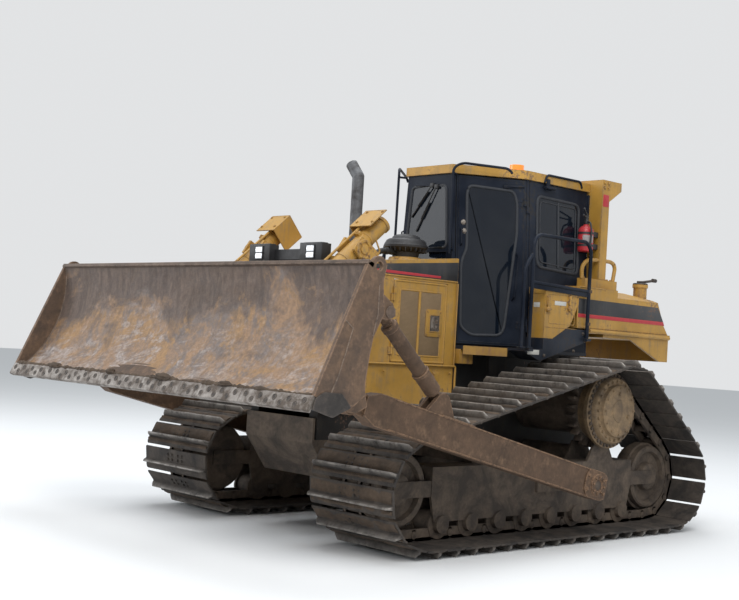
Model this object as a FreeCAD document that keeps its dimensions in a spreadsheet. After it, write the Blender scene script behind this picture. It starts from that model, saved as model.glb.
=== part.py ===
import FreeCAD, Part
import math
import os
from types import SimpleNamespace
import Sketcher

# A low ground pressure bulldozer with raised drive wheels, in millimetres.
# It faces -Y, +X is its own left, +Z is up, and z = 0 is at the tips of the track lugs.
# Left pieces are built, and right ones are their mirror copies.

DOC = FreeCAD.newDocument("Bulldozer")
VECTOR = FreeCAD.Vector

# Driving sizes: name and value. Angles are in degrees.
SIZES = [
    # tracks
    ("gauge_half", 1143),
    ("shoe_width", 914),
    ("shoe_count", 45),
    ("front_idler_y", -1244),
    ("rear_idler_y", 2028),
    ("drive_y", 1250),
    ("drive_z", 1093),
    ("pitch_radius", 350),
    ("shoe_seat", 50),
    ("shoe_plate", 16),
    ("lug_height", 56),
    ("lug_root", 34),
    ("lug_tip", 18),
    ("lug_place", 128),
    ("chain_width", 220),
    ("chain_depth", 45),
    ("track_gap", 0.3),
    ("idler_width", 170),
    ("idler_shaft_radius", 48),
    ("roller_count", 8),
    ("roller_radius", 100),
    ("roller_width", 170),
    ("roller_shaft_radius", 36),
    ("roller_first_y", -790),
    ("roller_step", 337),
    # roller frames
    ("frame_tube_half", 105),
    ("frame_plate", 24),
    ("frame_low_z", 400),
    ("frame_high_z", 640),
    ("frame_skirt_z", 215),
    ("yoke_plate", 28),
    ("yoke_half", 62),
    ("pivot_z", 669),
    ("pivot_y", 1225),
    ("pivot_radius", 85),
    ("saddle_half", 190),
    ("saddle_top_z", 800),
    ("trunnion_y", 525),
    ("trunnion_z", 510),
    ("trunnion_radius", 68),
    ("trunnion_ball_radius", 85),
    ("trunnion_plate", 26),
    # drive wheels
    ("final_drive_radius", 235),
    ("drive_width", 150),
    ("drive_core_radius", 190),
    ("hub_radius", 335),
    ("hub_reach", 137),
    ("hub_depth", 115),
    ("hub_boss_radius", 230),
    ("hub_boss_depth", 40),
    # main frame
    ("rail_outer_x", 430),
    ("rail_inner_x", 330),
    ("rail_low_z", 770),
    ("rail_high_z", 1000),
    ("nose_y", -1430),
    ("case_front_y", 620),
    ("case_rear_y", 2090),
    ("case_half", 430),
    ("case_low_z", 450),
    ("case_high_z", 1500),
    ("equalizer_y", -250),
    ("equalizer_half", 75),
    ("belly_plate", 20),
    ("belly_front_z", 740),
    ("belly_slope_y", -1210),
    ("hitch_rear_y", 2330),
    ("hitch_half", 110),
    ("hitch_low_z", 560),
    ("hitch_high_z", 760),
    ("hitch_jaw", 100),
    ("hitch_pin_radius", 28),
    ("hitch_pin_y", 2255),
    # engine, radiator guard and hood
    ("engine_half", 320),
    ("engine_front_y", -850),
    ("engine_rear_y", 150),
    ("engine_high_z", 1950),
    ("guard_half", 475),
    ("guard_plate", 38),
    ("guard_rear_y", -1000),
    ("guard_high_z", 2240),
    ("radiator_front_y", -1290),
    ("radiator_rear_y", -1110),
    ("grille_depth", 40),
    ("hood_half", 437),
    ("hood_sheet", 16),
    ("hood_rear_y", 140),
    ("hood_rear_z", 2353),
    ("hood_low_z", 2150),
    ("door_front_y", -634),
    ("door_rear_y", 10),
    ("door_low_z", 1421),
    ("door_high_z", 2111),
    ("door_gap", 6),
    ("knuckle_radius", 11),
    ("knuckle_length", 60),
    ("panel_sheet", 20),
    ("stack_x", -205),
    ("stack_y", -536),
    ("stack_radius", 53),
    ("stack_top_z", 3030),
    ("stack_bend", 40),
    ("stack_spout", 150),
    ("intake_x", 12),
    ("intake_y", -110),
    ("intake_radius", 198),
    ("intake_dish", 88),
    ("intake_dome", 42),
    ("intake_top_z", 2554),
    ("lamp_left_x", 255),
    ("lamp_right_x", -405),
    ("lamp_width", 262),
    ("lamp_depth", 95),
    ("lamp_low_z", 2192),
    ("lamp_height", 137),
    ("lamp_bar_low_z", 2205),
    ("lamp_bar_height", 84),
    ("lamp_bar_depth", 40),
    # cab
    ("deck_front_half", 520),
    ("deck_low_z", 1560),
    ("cab_floor_z", 1590),
    ("cab_top_z", 3130),
    ("cab_front_y", 163),
    ("cab_corner_y", 750),
    ("cab_rear_y", 1655),
    ("cab_front_half", 370),
    ("cab_side_half", 730),
    ("cab_lean", 90),
    ("cab_wall", 36),
    ("door_bevel", 0.8),
    ("door_room", 6),
    ("side_post", 145),
    ("rear_post", 74),
    ("cab_sill", 90),
    ("window_low_z", 2330),
    ("glass", 8),
    ("roof_lip", 22),
    ("roof_thick", 78),
    ("seat_front_y", 650),
    ("seat_length", 480),
    ("seat_back", 130),
    ("seat_half", 240),
    ("seat_stem", 110),
    ("seat_rise", 260),
    ("seat_pad", 120),
    ("seat_back_high", 600),
    ("dash_half", 190),
    ("dash_depth", 120),
    ("beacon_x", 480),
    ("beacon_y", 800),
    ("beacon_radius", 66),
    ("beacon_height", 67),
    # roll-over bar
    ("bar_front_y", 1680),
    ("bar_depth", 108),
    ("bar_overhang", 82),
    ("bar_width", 150),
    ("bar_low_z", 2200),
    ("bar_rise", 115),
    ("bar_beam", 175),
    ("bar_cap", 185),
    ("bar_cap_drop", 26),
    ("bar_foot_y", 1440),
    ("bar_foot_length", 500),
    ("bar_foot_height", 90),
    ("bar_foot_room", 25),
    ("bottle_inset", 54),
    ("bottle_y", 1520),
    ("bottle_radius", 73),
    ("bottle_low_z", 2540),
    ("bottle_high_z", 2785),
    # fuel tank and fenders
    ("tank_overhang", 183),
    ("tank_front_y", 1661),
    ("tank_rear_y", 2819),
    ("tank_low_z", 1745),
    ("tank_step_z", 1806),
    ("tank_step_y", 2738),
    ("tank_knee_y", 2650),
    ("tank_knee_z", 1908),
    ("tank_top_rear_y", 2550),
    ("tank_high_z", 2098),
    ("tank_crown_z", 2200),
    ("tank_crown_half", 700),
    ("tank_crown_y", 2250),
    ("tank_corner", 75),
    ("shoulder_rear_y", 1860),
    ("skirt_front_y", 2100),
    ("skirt_low_z", 1548),
    ("skirt_plate", 24),
    ("ledge_low_z", 1775),
    ("ledge_high_z", 1815),
    ("ledge_depth", 22),
    ("filler_x", 740),
    ("filler_y", 2470),
    ("filler_radius", 60),
    ("filler_root", 150),
    ("filler_height", 70),
    ("fender_low_z", 1575),
    ("fender_keel_z", 1498),
    ("fender_keel_y", 740),
    ("fender_rear_y", 1395),
    ("fender_plate", 23),
    ("fender_room", 20),
    ("fender_high_z", 1700),
    ("fender_front_y", 500),
    ("box_room", 15),
    ("box_margin", 17),
    ("box_step_length", 125),
    ("box_slope_length", 245),
    ("box_slope_height", 126),
    ("box_heel_height", 300),
    ("box_lip_height", 330),
    ("box_lip_depth", 10),
    ("box_front_y", 760),
    ("box_rear_y", 1235),
    ("box_high_z", 2150),
    ("rail_tube_radius", 17),
    ("hand_rail_room", 37),
    ("hand_rail_front_y", 540),
    ("hand_rail_rear_y", 1360),
    ("hand_rail_top_z", 2605),
    ("hand_rail_bend", 110),
    # lift cylinders
    ("lift_x", 620),
    ("yoke_y", -1270),
    ("yoke_z", 2295),
    ("yoke_arm", 26),
    ("yoke_gap", 12),
    ("lift_barrel_radius", 70),
    ("lift_rod_radius", 36),
    ("lift_tail", 360),
    ("lift_guard_room", 112),
    ("lift_guard_length", 225),
    ("lift_guard_sheet", 8),
    ("lift_nose", 985),
    ("lift_pin_radius", 38),
    ("lift_eye_radius", 62),
    ("lift_eye_width", 76),
    ("pin_gap", 0.3),
    # blade, in its own frame: y from the chord to the rear, z up the chord from the edge
    ("edge_y", -2819),
    ("edge_z", 1118),
    ("blade_lean", 24.5),
    ("blade_margin", 209),
    ("blade_height", 1079),
    ("blade_sheet", 22),
    ("blade_curve", 900),
    ("edge_margin", 20),
    ("edge_height", 106),
    ("edge_plate", 28),
    ("end_plate", 30),
    ("lift_hole_back", 94),
    ("lift_hole_up", 1087),
    ("lift_hole_radius", 30),
    ("lift_ring_radius", 66),
    ("lift_pin_back", 380),
    ("lift_pin_up", 560),
    ("ear_gap", 70),
    ("ear_plate", 30),
    # push arms, brace and tilt cylinder
    ("arm_room", 156),
    ("arm_width", 120),
    ("arm_height", 232),
    ("arm_tail", 120),
    ("arm_joint_y", -2215),
    ("arm_joint_z", 1165),
    ("tongue_width", 80),
    ("tongue_radius", 92),
    ("shaft_gap", 26),
    ("arm_ear_gap", 50),
    ("joint_rise", 1.6),
    ("joint_ball_radius", 50),
    ("joint_ball_gap", 0.6),
    ("joint_slot", 7),
    ("joint_pin_radius", 26),
    ("brace_low_y", -1342),
    ("brace_low_z", 1187),
    ("brace_top_y", -1977),
    ("brace_top_z", 1781),
    ("brace_tube_radius", 55),
    ("brace_rod_radius", 35),
    ("brace_eye_radius", 52),
    ("brace_eye_width", 60),
    ("brace_ear_gap", 46),
    ("tilt_barrel_radius", 72),
    ("brace_rod_share", 0.17),
]

SHEET = DOC.addObject("Spreadsheet::Sheet", "Sizes")
for line, (alias, value) in enumerate(SIZES, 1):
    SHEET.set("A%d" % line, alias)
    SHEET.set("B%d" % line, str(value))
    SHEET.setAlias("B%d" % line, alias)
DOC.recompute()


class Size:
    """A number together with the sheet expression that gives it."""

    def __init__(self, value, text):
        self.value = float(value)
        self.text = text

    def __add__(self, other):
        other = as_size(other)
        return Size(self.value + other.value, "(%s + %s)" % (self.text, other.text))

    def __sub__(self, other):
        other = as_size(other)
        return Size(self.value - other.value, "(%s - %s)" % (self.text, other.text))

    def __mul__(self, other):
        other = as_size(other)
        return Size(self.value * other.value, "(%s * %s)" % (self.text, other.text))

    def __truediv__(self, other):
        other = as_size(other)
        return Size(self.value / other.value, "(%s / %s)" % (self.text, other.text))

    def __radd__(self, other):
        return as_size(other) + self

    def __rsub__(self, other):
        return as_size(other) - self

    def __rmul__(self, other):
        return as_size(other) * self

    def __neg__(self):
        return Size(-self.value, "(0 - %s)" % self.text)


def as_size(item):
    """Let a plain number stand beside sheet sizes."""
    if isinstance(item, Size):
        return item
    return Size(item, "(0 - %r)" % -item if item < 0 else "%r" % item)


def cosine(angle):
    angle = as_size(angle)
    return Size(math.cos(math.radians(angle.value)), "cos(%s * 1 deg)" % angle.text)


def sine(angle):
    angle = as_size(angle)
    return Size(math.sin(math.radians(angle.value)), "sin(%s * 1 deg)" % angle.text)


def slope_angle(rise, run):
    """Degrees of a slope with this rise over this run."""
    rise = as_size(rise)
    run = as_size(run)
    return Size(math.degrees(math.atan(rise.value / run.value)),
                "(atan(%s / %s) / (1 deg))" % (rise.text, run.text))


def distance(across, up):
    across = as_size(across)
    up = as_size(up)
    return Size(math.hypot(across.value, up.value),
                "sqrt(%s * %s + %s * %s)" % (across.text, across.text, up.text, up.text))


def root(item):
    return Size(math.sqrt(item.value), "sqrt(%s)" % item.text)


S = SimpleNamespace(**{alias: Size(SHEET.get(alias), "Sizes." + alias) for alias, value in SIZES})

NODES = []


def node(label, piece):
    """Name a finished piece and keep it for the export."""
    piece.Label = label
    NODES.append(piece)
    return piece


def place(piece, at, axis=None, angle=None):
    """Bind a piece's place, and its turn about one axis, to the sheet."""
    at = [as_size(item) for item in at]
    turn = FreeCAD.Rotation()
    if axis is not None:
        turn = FreeCAD.Rotation(VECTOR(*axis), as_size(angle).value)
    piece.Placement = FreeCAD.Placement(VECTOR(*[item.value for item in at]), turn)
    for name, item in zip("xyz", at):
        piece.setExpression("Placement.Base." + name, item.text)
    if axis is not None:
        piece.setExpression("Placement.Rotation.Angle", as_size(angle).text)
    return piece


def box(x, y, z, turn=None, name="block"):
    """A block between the low and high ends of x, y and z, turned about Z if asked."""
    piece = DOC.addObject("Part::Box", name)
    for prop, (low, high) in zip(("Length", "Width", "Height"), (x, y, z)):
        span = as_size(high) - low
        setattr(piece, prop, span.value)
        piece.setExpression(prop, span.text)
    if turn is None:
        return place(piece, (x[0], y[0], z[0]))
    return place(piece, (x[0], y[0], z[0]), (0, 0, 1), turn)


def rod(at, length, radius, along="x", angle=None, name="rod"):
    """A round bar from a point along +x, +y, +z, or forward and down at an angle."""
    piece = DOC.addObject("Part::Cylinder", name)
    for prop, item in (("Radius", as_size(radius)), ("Height", as_size(length))):
        setattr(piece, prop, item.value)
        piece.setExpression(prop, item.text)
    if along == "x":
        return place(piece, at, (0, 1, 0), 90)
    if along == "y":
        return place(piece, at, (1, 0, 0), -90)
    if along == "slope":
        return place(piece, at, (1, 0, 0), 90 + as_size(angle))
    if along == "lean":
        return place(piece, at, (0, 1, 0), -as_size(angle))
    return place(piece, at)


def sphere(at, radius, name="ball"):
    """A ball whose poles lie on the X axis."""
    piece = DOC.addObject("Part::Sphere", name)
    piece.setExpression("Radius", as_size(radius).text)
    return place(piece, at, (0, 1, 0), 90)


PLANES = {"yz": "YZ_Plane", "xz": "XZ_Plane", "xy": "XY_Plane"}


def profile(plane, points, low, high, at=None, turn=None, name="profile"):
    """A closed outline padded from low to high across its plane.

    A point is (u, v), or (u, v, radius) where an arc leads to the next point: a positive
    radius bends to the left of the travel, a negative one to the right.
    """
    body = DOC.addObject("PartDesign::Body", name)
    sketch = body.newObject("Sketcher::SketchObject", name + "_sketch")
    for plane_item in body.Origin.OriginFeatures:
        if plane_item.Role == PLANES[plane]:
            sketch.AttachmentSupport = [(plane_item, "")]
    sketch.MapMode = "FlatFace"
    corners = [tuple(as_size(item) for item in point) for point in points]
    edges = []
    ends = []
    for index, corner in enumerate(corners):
        following = corners[(index + 1) % len(corners)]
        start = VECTOR(corner[0].value, corner[1].value, 0)
        stop = VECTOR(following[0].value, following[1].value, 0)
        if len(corner) == 2:
            edges.append(Part.LineSegment(start, stop))
            ends.append((1, 2))
            continue
        radius = corner[2].value
        chord = stop - start
        left = VECTOR(-chord.y, chord.x, 0).normalize()
        rise = math.sqrt(radius * radius - chord.Length ** 2 / 4)
        centre = (start + stop) * 0.5 + left * math.copysign(rise, radius)
        first, last = (start, stop) if radius > 0 else (stop, start)
        angles = [math.atan2(item.y - centre.y, item.x - centre.x) for item in (first, last)]
        edges.append(Part.ArcOfCircle(Part.Circle(centre, VECTOR(0, 0, 1), abs(radius)), *angles))
        ends.append((1, 2) if radius > 0 else (2, 1))
    sketch.addGeometry(edges, False)
    for index, corner in enumerate(corners):
        following = (index + 1) % len(corners)
        sketch.addConstraint(Sketcher.Constraint("Coincident", index, ends[index][1],
                                                 following, ends[following][0]))
        for kind, item in (("DistanceX", corner[0]), ("DistanceY", corner[1])):
            count = sketch.addConstraint(Sketcher.Constraint(kind, -1, 1, index, ends[index][0],
                                                             item.value))
            sketch.setExpression("Constraints[%d]" % count, item.text)
        if len(corner) == 3:
            size = corner[2] if corner[2].value > 0 else -corner[2]
            count = sketch.addConstraint(Sketcher.Constraint("Radius", index, size.value))
            sketch.setExpression("Constraints[%d]" % count, size.text)
    offset = -as_size(high) if plane == "xz" else as_size(low)
    sketch.setExpression("AttachmentOffset.Base.z", offset.text)
    pad = body.newObject("PartDesign::Pad", name + "_pad")
    pad.Profile = sketch
    length = as_size(high) - low
    pad.setExpression("Length", length.text)
    if at is not None:
        place(body, at, (1, 0, 0), turn)
    return body


def fuse(pieces, name="joined"):
    piece = DOC.addObject("Part::MultiFuse", name)
    piece.Shapes = pieces
    return piece


def cut(base, tool, name="cut"):
    piece = DOC.addObject("Part::Cut", name)
    piece.Base = base
    piece.Tool = tool
    return piece


def common(base, tool, name="shared"):
    piece = DOC.addObject("Part::Common", name)
    piece.Base = base
    piece.Tool = tool
    return piece


def set_of(pieces, name="set"):
    piece = DOC.addObject("Part::Compound", name)
    piece.Links = pieces
    return piece


def mirror(source, name="mirrored"):
    piece = DOC.addObject("Part::Mirroring", name)
    piece.Source = source
    piece.Normal = VECTOR(1, 0, 0)
    return piece


def both_sides(label, piece):
    """Export a left piece and its mirror copy on the right."""
    node("left_" + label, piece)
    node("right_" + label, mirror(piece))


def pair_of(label, piece):
    """Export a left piece and its mirror copy as one node."""
    node(label, set_of([piece, mirror(piece)]))


def across(half):
    return (-as_size(half), half)


# Places worked out from the driving sizes
# Places that follow from the tracks and the tank: the arms pass outside the shoes, the blade
# spans the arms
ARM_OUTER_X = S.gauge_half + S.shoe_width / 2 + S.arm_room
BLADE_HALF = ARM_OUTER_X + S.blade_margin
EDGE_HALF = BLADE_HALF + S.edge_margin
TANK_HALF = S.cab_side_half + S.tank_overhang
BOX_INNER_X = S.cab_side_half + S.box_room
BOX_OUTER_X = TANK_HALF + S.box_margin
HAND_RAIL_X = TANK_HALF + S.hand_rail_room
BAR_OUTER_X = S.cab_side_half + S.bar_overhang
BAR_TOP_Z = S.cab_top_z + S.bar_rise
HUB_INNER_X = S.gauge_half + S.hub_reach
HUB_OUTER_X = HUB_INNER_X + S.hub_depth
IDLER_Z = S.pitch_radius + S.shoe_seat + S.shoe_plate + S.lug_height
CHAIN_INNER_X = S.gauge_half - S.chain_width / 2
CHAIN_OUTER_X = S.gauge_half + S.chain_width / 2
BASE_RUN = S.rear_idler_y - S.front_idler_y
REAR_RUN = distance(S.rear_idler_y - S.drive_y, S.drive_z - IDLER_Z)
TOP_RUN = distance(S.drive_y - S.front_idler_y, S.drive_z - IDLER_Z)
LOOP_LENGTH = BASE_RUN + REAR_RUN + TOP_RUN + 2 * math.pi * S.pitch_radius
SHOE_PITCH = LOOP_LENGTH / S.shoe_count
WHEEL_RADIUS = (root(S.pitch_radius * S.pitch_radius - SHOE_PITCH * SHOE_PITCH / 4)
                - S.chain_depth - S.track_gap)
RAIL_Z = IDLER_Z - S.pitch_radius + S.chain_depth
ROLLER_Z = RAIL_Z + S.track_gap + S.roller_radius


def loop_pins():
    """Track pin centres, evenly spaced round the three wheels."""
    radius = S.pitch_radius.value
    wheels = [(S.front_idler_y.value, IDLER_Z.value), (S.rear_idler_y.value, IDLER_Z.value),
              (S.drive_y.value, S.drive_z.value)]
    runs = []
    for index, (y, z) in enumerate(wheels):
        next_y, next_z = wheels[(index + 1) % 3]
        length = math.hypot(next_y - y, next_z - z)
        runs.append((y, z, (next_y - y) / length, (next_z - z) / length, length))
    stretches = []
    for index, (y, z, dy, dz, length) in enumerate(runs):
        stretches.append(("run", (y + radius * dz, z - radius * dy), (dy, dz), length))
        after = runs[(index + 1) % 3]
        turn = (math.atan2(after[3], after[2]) - math.atan2(dz, dy)) % (2 * math.pi)
        stretches.append(("arc", (after[0], after[1]), math.atan2(-dy, dz), radius * turn))
    count = int(round(S.shoe_count.value))
    step = sum(item[3] for item in stretches) / count
    pins = []
    for index in range(count):
        along = (index + 0.5) * step
        for kind, start, heading, length in stretches:
            if along <= length:
                break
            along -= length
        if kind == "run":
            pins.append((start[0] + heading[0] * along, start[1] + heading[1] * along))
        else:
            angle = heading + along / radius
            pins.append((start[0] + radius * math.cos(angle), start[1] + radius * math.sin(angle)))
    return pins


def offset_loop(pins, distance_out):
    """The closed line through the pins, moved outward by a distance."""
    points = []
    for index, (y, z) in enumerate(pins):
        before = pins[index - 1]
        after = pins[(index + 1) % len(pins)]
        normals = []
        for (ay, az), (by, bz) in ((before, (y, z)), ((y, z), after)):
            length = math.hypot(by - ay, bz - az)
            normals.append(((bz - az) / length, -(by - ay) / length))
        share = 1 + normals[0][0] * normals[1][0] + normals[0][1] * normals[1][1]
        points.append((y + distance_out * (normals[0][0] + normals[1][0]) / share,
                       z + distance_out * (normals[0][1] + normals[1][1]) / share))
    return points


def shoe_outline(pins):
    """Outer line of the track: a plate and one lug for each shoe."""
    seat = S.shoe_seat.value + S.shoe_plate.value
    top = seat + S.lug_height.value
    root_half = S.lug_root.value / 2
    tip_half = S.lug_tip.value / 2
    lug = S.lug_place.value
    points = []
    for index, (y, z) in enumerate(pins):
        next_y, next_z = pins[(index + 1) % len(pins)]
        length = math.hypot(next_y - y, next_z - z)
        dy = (next_y - y) / length
        dz = (next_z - z) / length
        for along, out in ((0, seat), (lug - root_half, seat), (lug - tip_half, top),
                           (lug + tip_half, top), (lug + root_half, seat), (length, seat)):
            point = (y + dy * along + dz * out, z + dz * along - dy * out)
            if not points or math.dist(point, points[-1]) > 0.5:
                points.append(point)
    if math.dist(points[0], points[-1]) < 0.5:
        points.pop()
    return points


def ring(outer, inner, low_x, high_x):
    """A solid between two closed lines in the YZ plane."""
    wires = []
    for points in (outer, inner):
        corners = [VECTOR(low_x, y, z) for y, z in points]
        wires.append(Part.makePolygon(corners + corners[:1]))
    hollow = Part.Face(wires[0]).cut(Part.Face(wires[1]))
    return hollow.Faces[0].extrude(VECTOR(high_x - low_x, 0, 0))


def build_tracks():
    """Each track is one fixed loop of shoes on its chain."""
    pins = loop_pins()
    half = S.shoe_width.value / 2
    seat = S.shoe_seat.value
    shoes = ring(shoe_outline(pins), offset_loop(pins, seat),
                 S.gauge_half.value - half, S.gauge_half.value + half)
    chain = ring(offset_loop(pins, seat + S.shoe_plate.value / 2),
                 offset_loop(pins, -S.chain_depth.value), CHAIN_INNER_X.value, CHAIN_OUTER_X.value)
    track = DOC.addObject("Part::Feature", "track_loop")
    track.Shape = shoes.fuse(chain).removeSplitter()
    track.Placement = FreeCAD.Placement(VECTOR(0, 0, 0), FreeCAD.Rotation())
    both_sides("track", track)


FRAME_INNER_X = S.gauge_half - S.frame_tube_half - S.frame_plate
FRAME_OUTER_X = S.gauge_half + S.frame_tube_half + S.frame_plate


def build_roller_frames():
    """Tube frame with side plates, idler yokes, pivot saddle and trunnion arm."""
    inner = S.gauge_half - S.frame_tube_half
    outer = S.gauge_half + S.frame_tube_half
    idler_room = WHEEL_RADIUS + 40
    front = S.front_idler_y + idler_room
    rear = S.rear_idler_y - idler_room
    tube = box((inner, outer), (front, rear), (S.frame_low_z, S.frame_high_z))
    parts = [tube]
    for low_x, high_x in ((FRAME_INNER_X, inner), (outer, FRAME_OUTER_X)):
        parts.append(profile("yz", [
            (front, S.frame_low_z), (S.roller_first_y - 80, S.frame_skirt_z),
            (S.roller_first_y + (S.roller_count - 1) * S.roller_step + 80, S.frame_skirt_z),
            (rear, S.frame_low_z), (rear, S.frame_high_z),
            (S.pivot_y + S.saddle_half, S.frame_high_z),
            (S.pivot_y + S.saddle_half / 2, S.saddle_top_z),
            (S.pivot_y - S.saddle_half / 2, S.saddle_top_z),
            (S.pivot_y - S.saddle_half, S.frame_high_z), (front, S.frame_high_z)], low_x, high_x))
    yoke_inner = S.idler_width / 2 + 10
    for sign in (-1, 1):
        low_x = S.gauge_half + sign * yoke_inner
        high_x = S.gauge_half + sign * (yoke_inner + S.yoke_plate)
        if sign < 0:
            low_x, high_x = high_x, low_x
        parts.append(box((low_x, high_x), (S.front_idler_y - 75, front + 60),
                         (IDLER_Z - S.yoke_half, IDLER_Z + S.yoke_half)))
        parts.append(box((low_x, high_x), (rear - 60, S.rear_idler_y + 75),
                         (IDLER_Z - S.yoke_half, IDLER_Z + S.yoke_half)))
    parts.append(rod((FRAME_OUTER_X - 10, S.trunnion_y, S.trunnion_z),
                     ARM_OUTER_X - S.arm_width - S.shaft_gap - FRAME_OUTER_X + 10, S.trunnion_radius))
    parts.append(box((FRAME_OUTER_X, FRAME_OUTER_X + S.trunnion_plate),
                     (S.trunnion_y - 190, S.trunnion_y + 190), (S.frame_low_z, S.frame_high_z)))
    both_sides("roller_frame", fuse(parts))


def wheel(centre_y, centre_z, width, radius, shaft, shaft_length):
    """A wheel on the track's centre line, with its shaft."""
    return fuse([rod((S.gauge_half - width / 2, centre_y, centre_z), width, radius),
                 rod((S.gauge_half - shaft_length / 2, centre_y, centre_z), shaft_length, shaft)])


def build_wheels():
    """Idlers, bottom rollers, drive wheels, final drives and pivot shafts."""
    shaft_length = S.idler_width + 20
    idlers = [wheel(y, IDLER_Z, S.idler_width, WHEEL_RADIUS, S.idler_shaft_radius, shaft_length)
              for y in (S.front_idler_y, S.rear_idler_y)]
    rollers = []
    for index in range(int(S.roller_count.value)):
        centre_y = S.roller_first_y + index * S.roller_step
        rollers.append(wheel(centre_y, ROLLER_Z, S.roller_width, S.roller_radius,
                             S.roller_shaft_radius, 2 * S.frame_tube_half))
    both_sides("rollers", set_of(idlers + rollers))
    drive_inner = S.gauge_half - S.drive_width / 2
    at = lambda x: (x, S.drive_y, S.drive_z)
    pair_of("drive_wheels", fuse([
        rod(at(drive_inner), S.drive_width, WHEEL_RADIUS),
        rod(at(drive_inner), HUB_OUTER_X - drive_inner, S.drive_core_radius),
        rod(at(HUB_INNER_X), HUB_OUTER_X - HUB_INNER_X, S.hub_radius),
        rod(at(HUB_OUTER_X), S.hub_boss_depth, S.hub_boss_radius)]))
    pair_of("final_drives", rod(at(S.case_half), drive_inner - S.case_half, S.final_drive_radius))
    pair_of("pivot_shafts", rod((S.case_half, S.pivot_y, S.pivot_z),
                                FRAME_INNER_X - S.case_half, S.pivot_radius))


def build_main_frame():
    """Side rails, rear case and hitch, with the equalizer bar and belly guard below."""
    parts = [box((S.rail_inner_x, S.rail_outer_x), (S.nose_y + S.grille_depth, S.case_front_y),
                 (S.rail_low_z, S.rail_high_z)),
             box((-S.rail_outer_x, -S.rail_inner_x), (S.nose_y + S.grille_depth, S.case_front_y),
                 (S.rail_low_z, S.rail_high_z)),
             box(across(S.rail_outer_x), (S.equalizer_y - 60, S.equalizer_y + 60),
                 (S.rail_low_z, S.rail_low_z + 29)),
             box(across(S.case_half), (S.case_front_y, S.case_rear_y), (S.case_low_z, S.case_high_z)),
             box(across(S.rail_inner_x), (S.case_front_y + 60, S.case_rear_y),
                 (S.case_high_z, S.deck_low_z)),
             box(across(S.hitch_half), (S.case_rear_y, S.hitch_rear_y), (S.hitch_low_z, S.hitch_high_z))]
    middle = (S.hitch_low_z + S.hitch_high_z) / 2
    frame = cut(fuse(parts), box(across(S.hitch_half + 10), (S.case_rear_y + 60, S.hitch_rear_y + 10),
                                 (middle - S.hitch_jaw / 2, middle + S.hitch_jaw / 2)))
    node("main_frame", cut(frame, rod((0, S.hitch_pin_y, S.hitch_low_z - 10),
                                      S.hitch_high_z - S.hitch_low_z + 20, S.hitch_pin_radius, "z")))
    bar = box(across(FRAME_INNER_X + S.frame_plate + S.frame_tube_half),
              (S.equalizer_y - S.equalizer_half, S.equalizer_y + S.equalizer_half),
              (S.frame_high_z, S.rail_low_z))
    node("equalizer_bar", bar)
    sheet = S.belly_plate
    floor = profile("yz", [
        (S.nose_y, S.rail_high_z - 60), (S.nose_y, S.belly_front_z), (S.belly_slope_y, S.case_low_z),
        (S.case_front_y, S.case_low_z), (S.case_front_y, S.case_low_z + sheet),
        (S.belly_slope_y + sheet / 2, S.case_low_z + sheet),
        (S.nose_y + sheet, S.belly_front_z + sheet / 3),
        (S.nose_y + sheet, S.rail_high_z - 60)], -S.rail_outer_x, S.rail_outer_x)
    sides = [profile("yz", [
        (S.belly_slope_y + sheet / 2, S.case_low_z + sheet), (S.case_front_y, S.case_low_z + sheet),
        (S.case_front_y, S.rail_low_z), (S.nose_y + sheet, S.rail_low_z),
        (S.nose_y + sheet, S.belly_front_z + sheet / 3)], low, low + sheet)
        for low in (-S.rail_outer_x, S.rail_outer_x - sheet)]
    slot = box(across(S.rail_outer_x + 10),
               (S.equalizer_y - S.equalizer_half - 25, S.equalizer_y + S.equalizer_half + 25),
               (S.frame_high_z - 30, S.rail_low_z + 10))
    node("belly_guard", cut(fuse([floor] + sides), slot))


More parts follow.
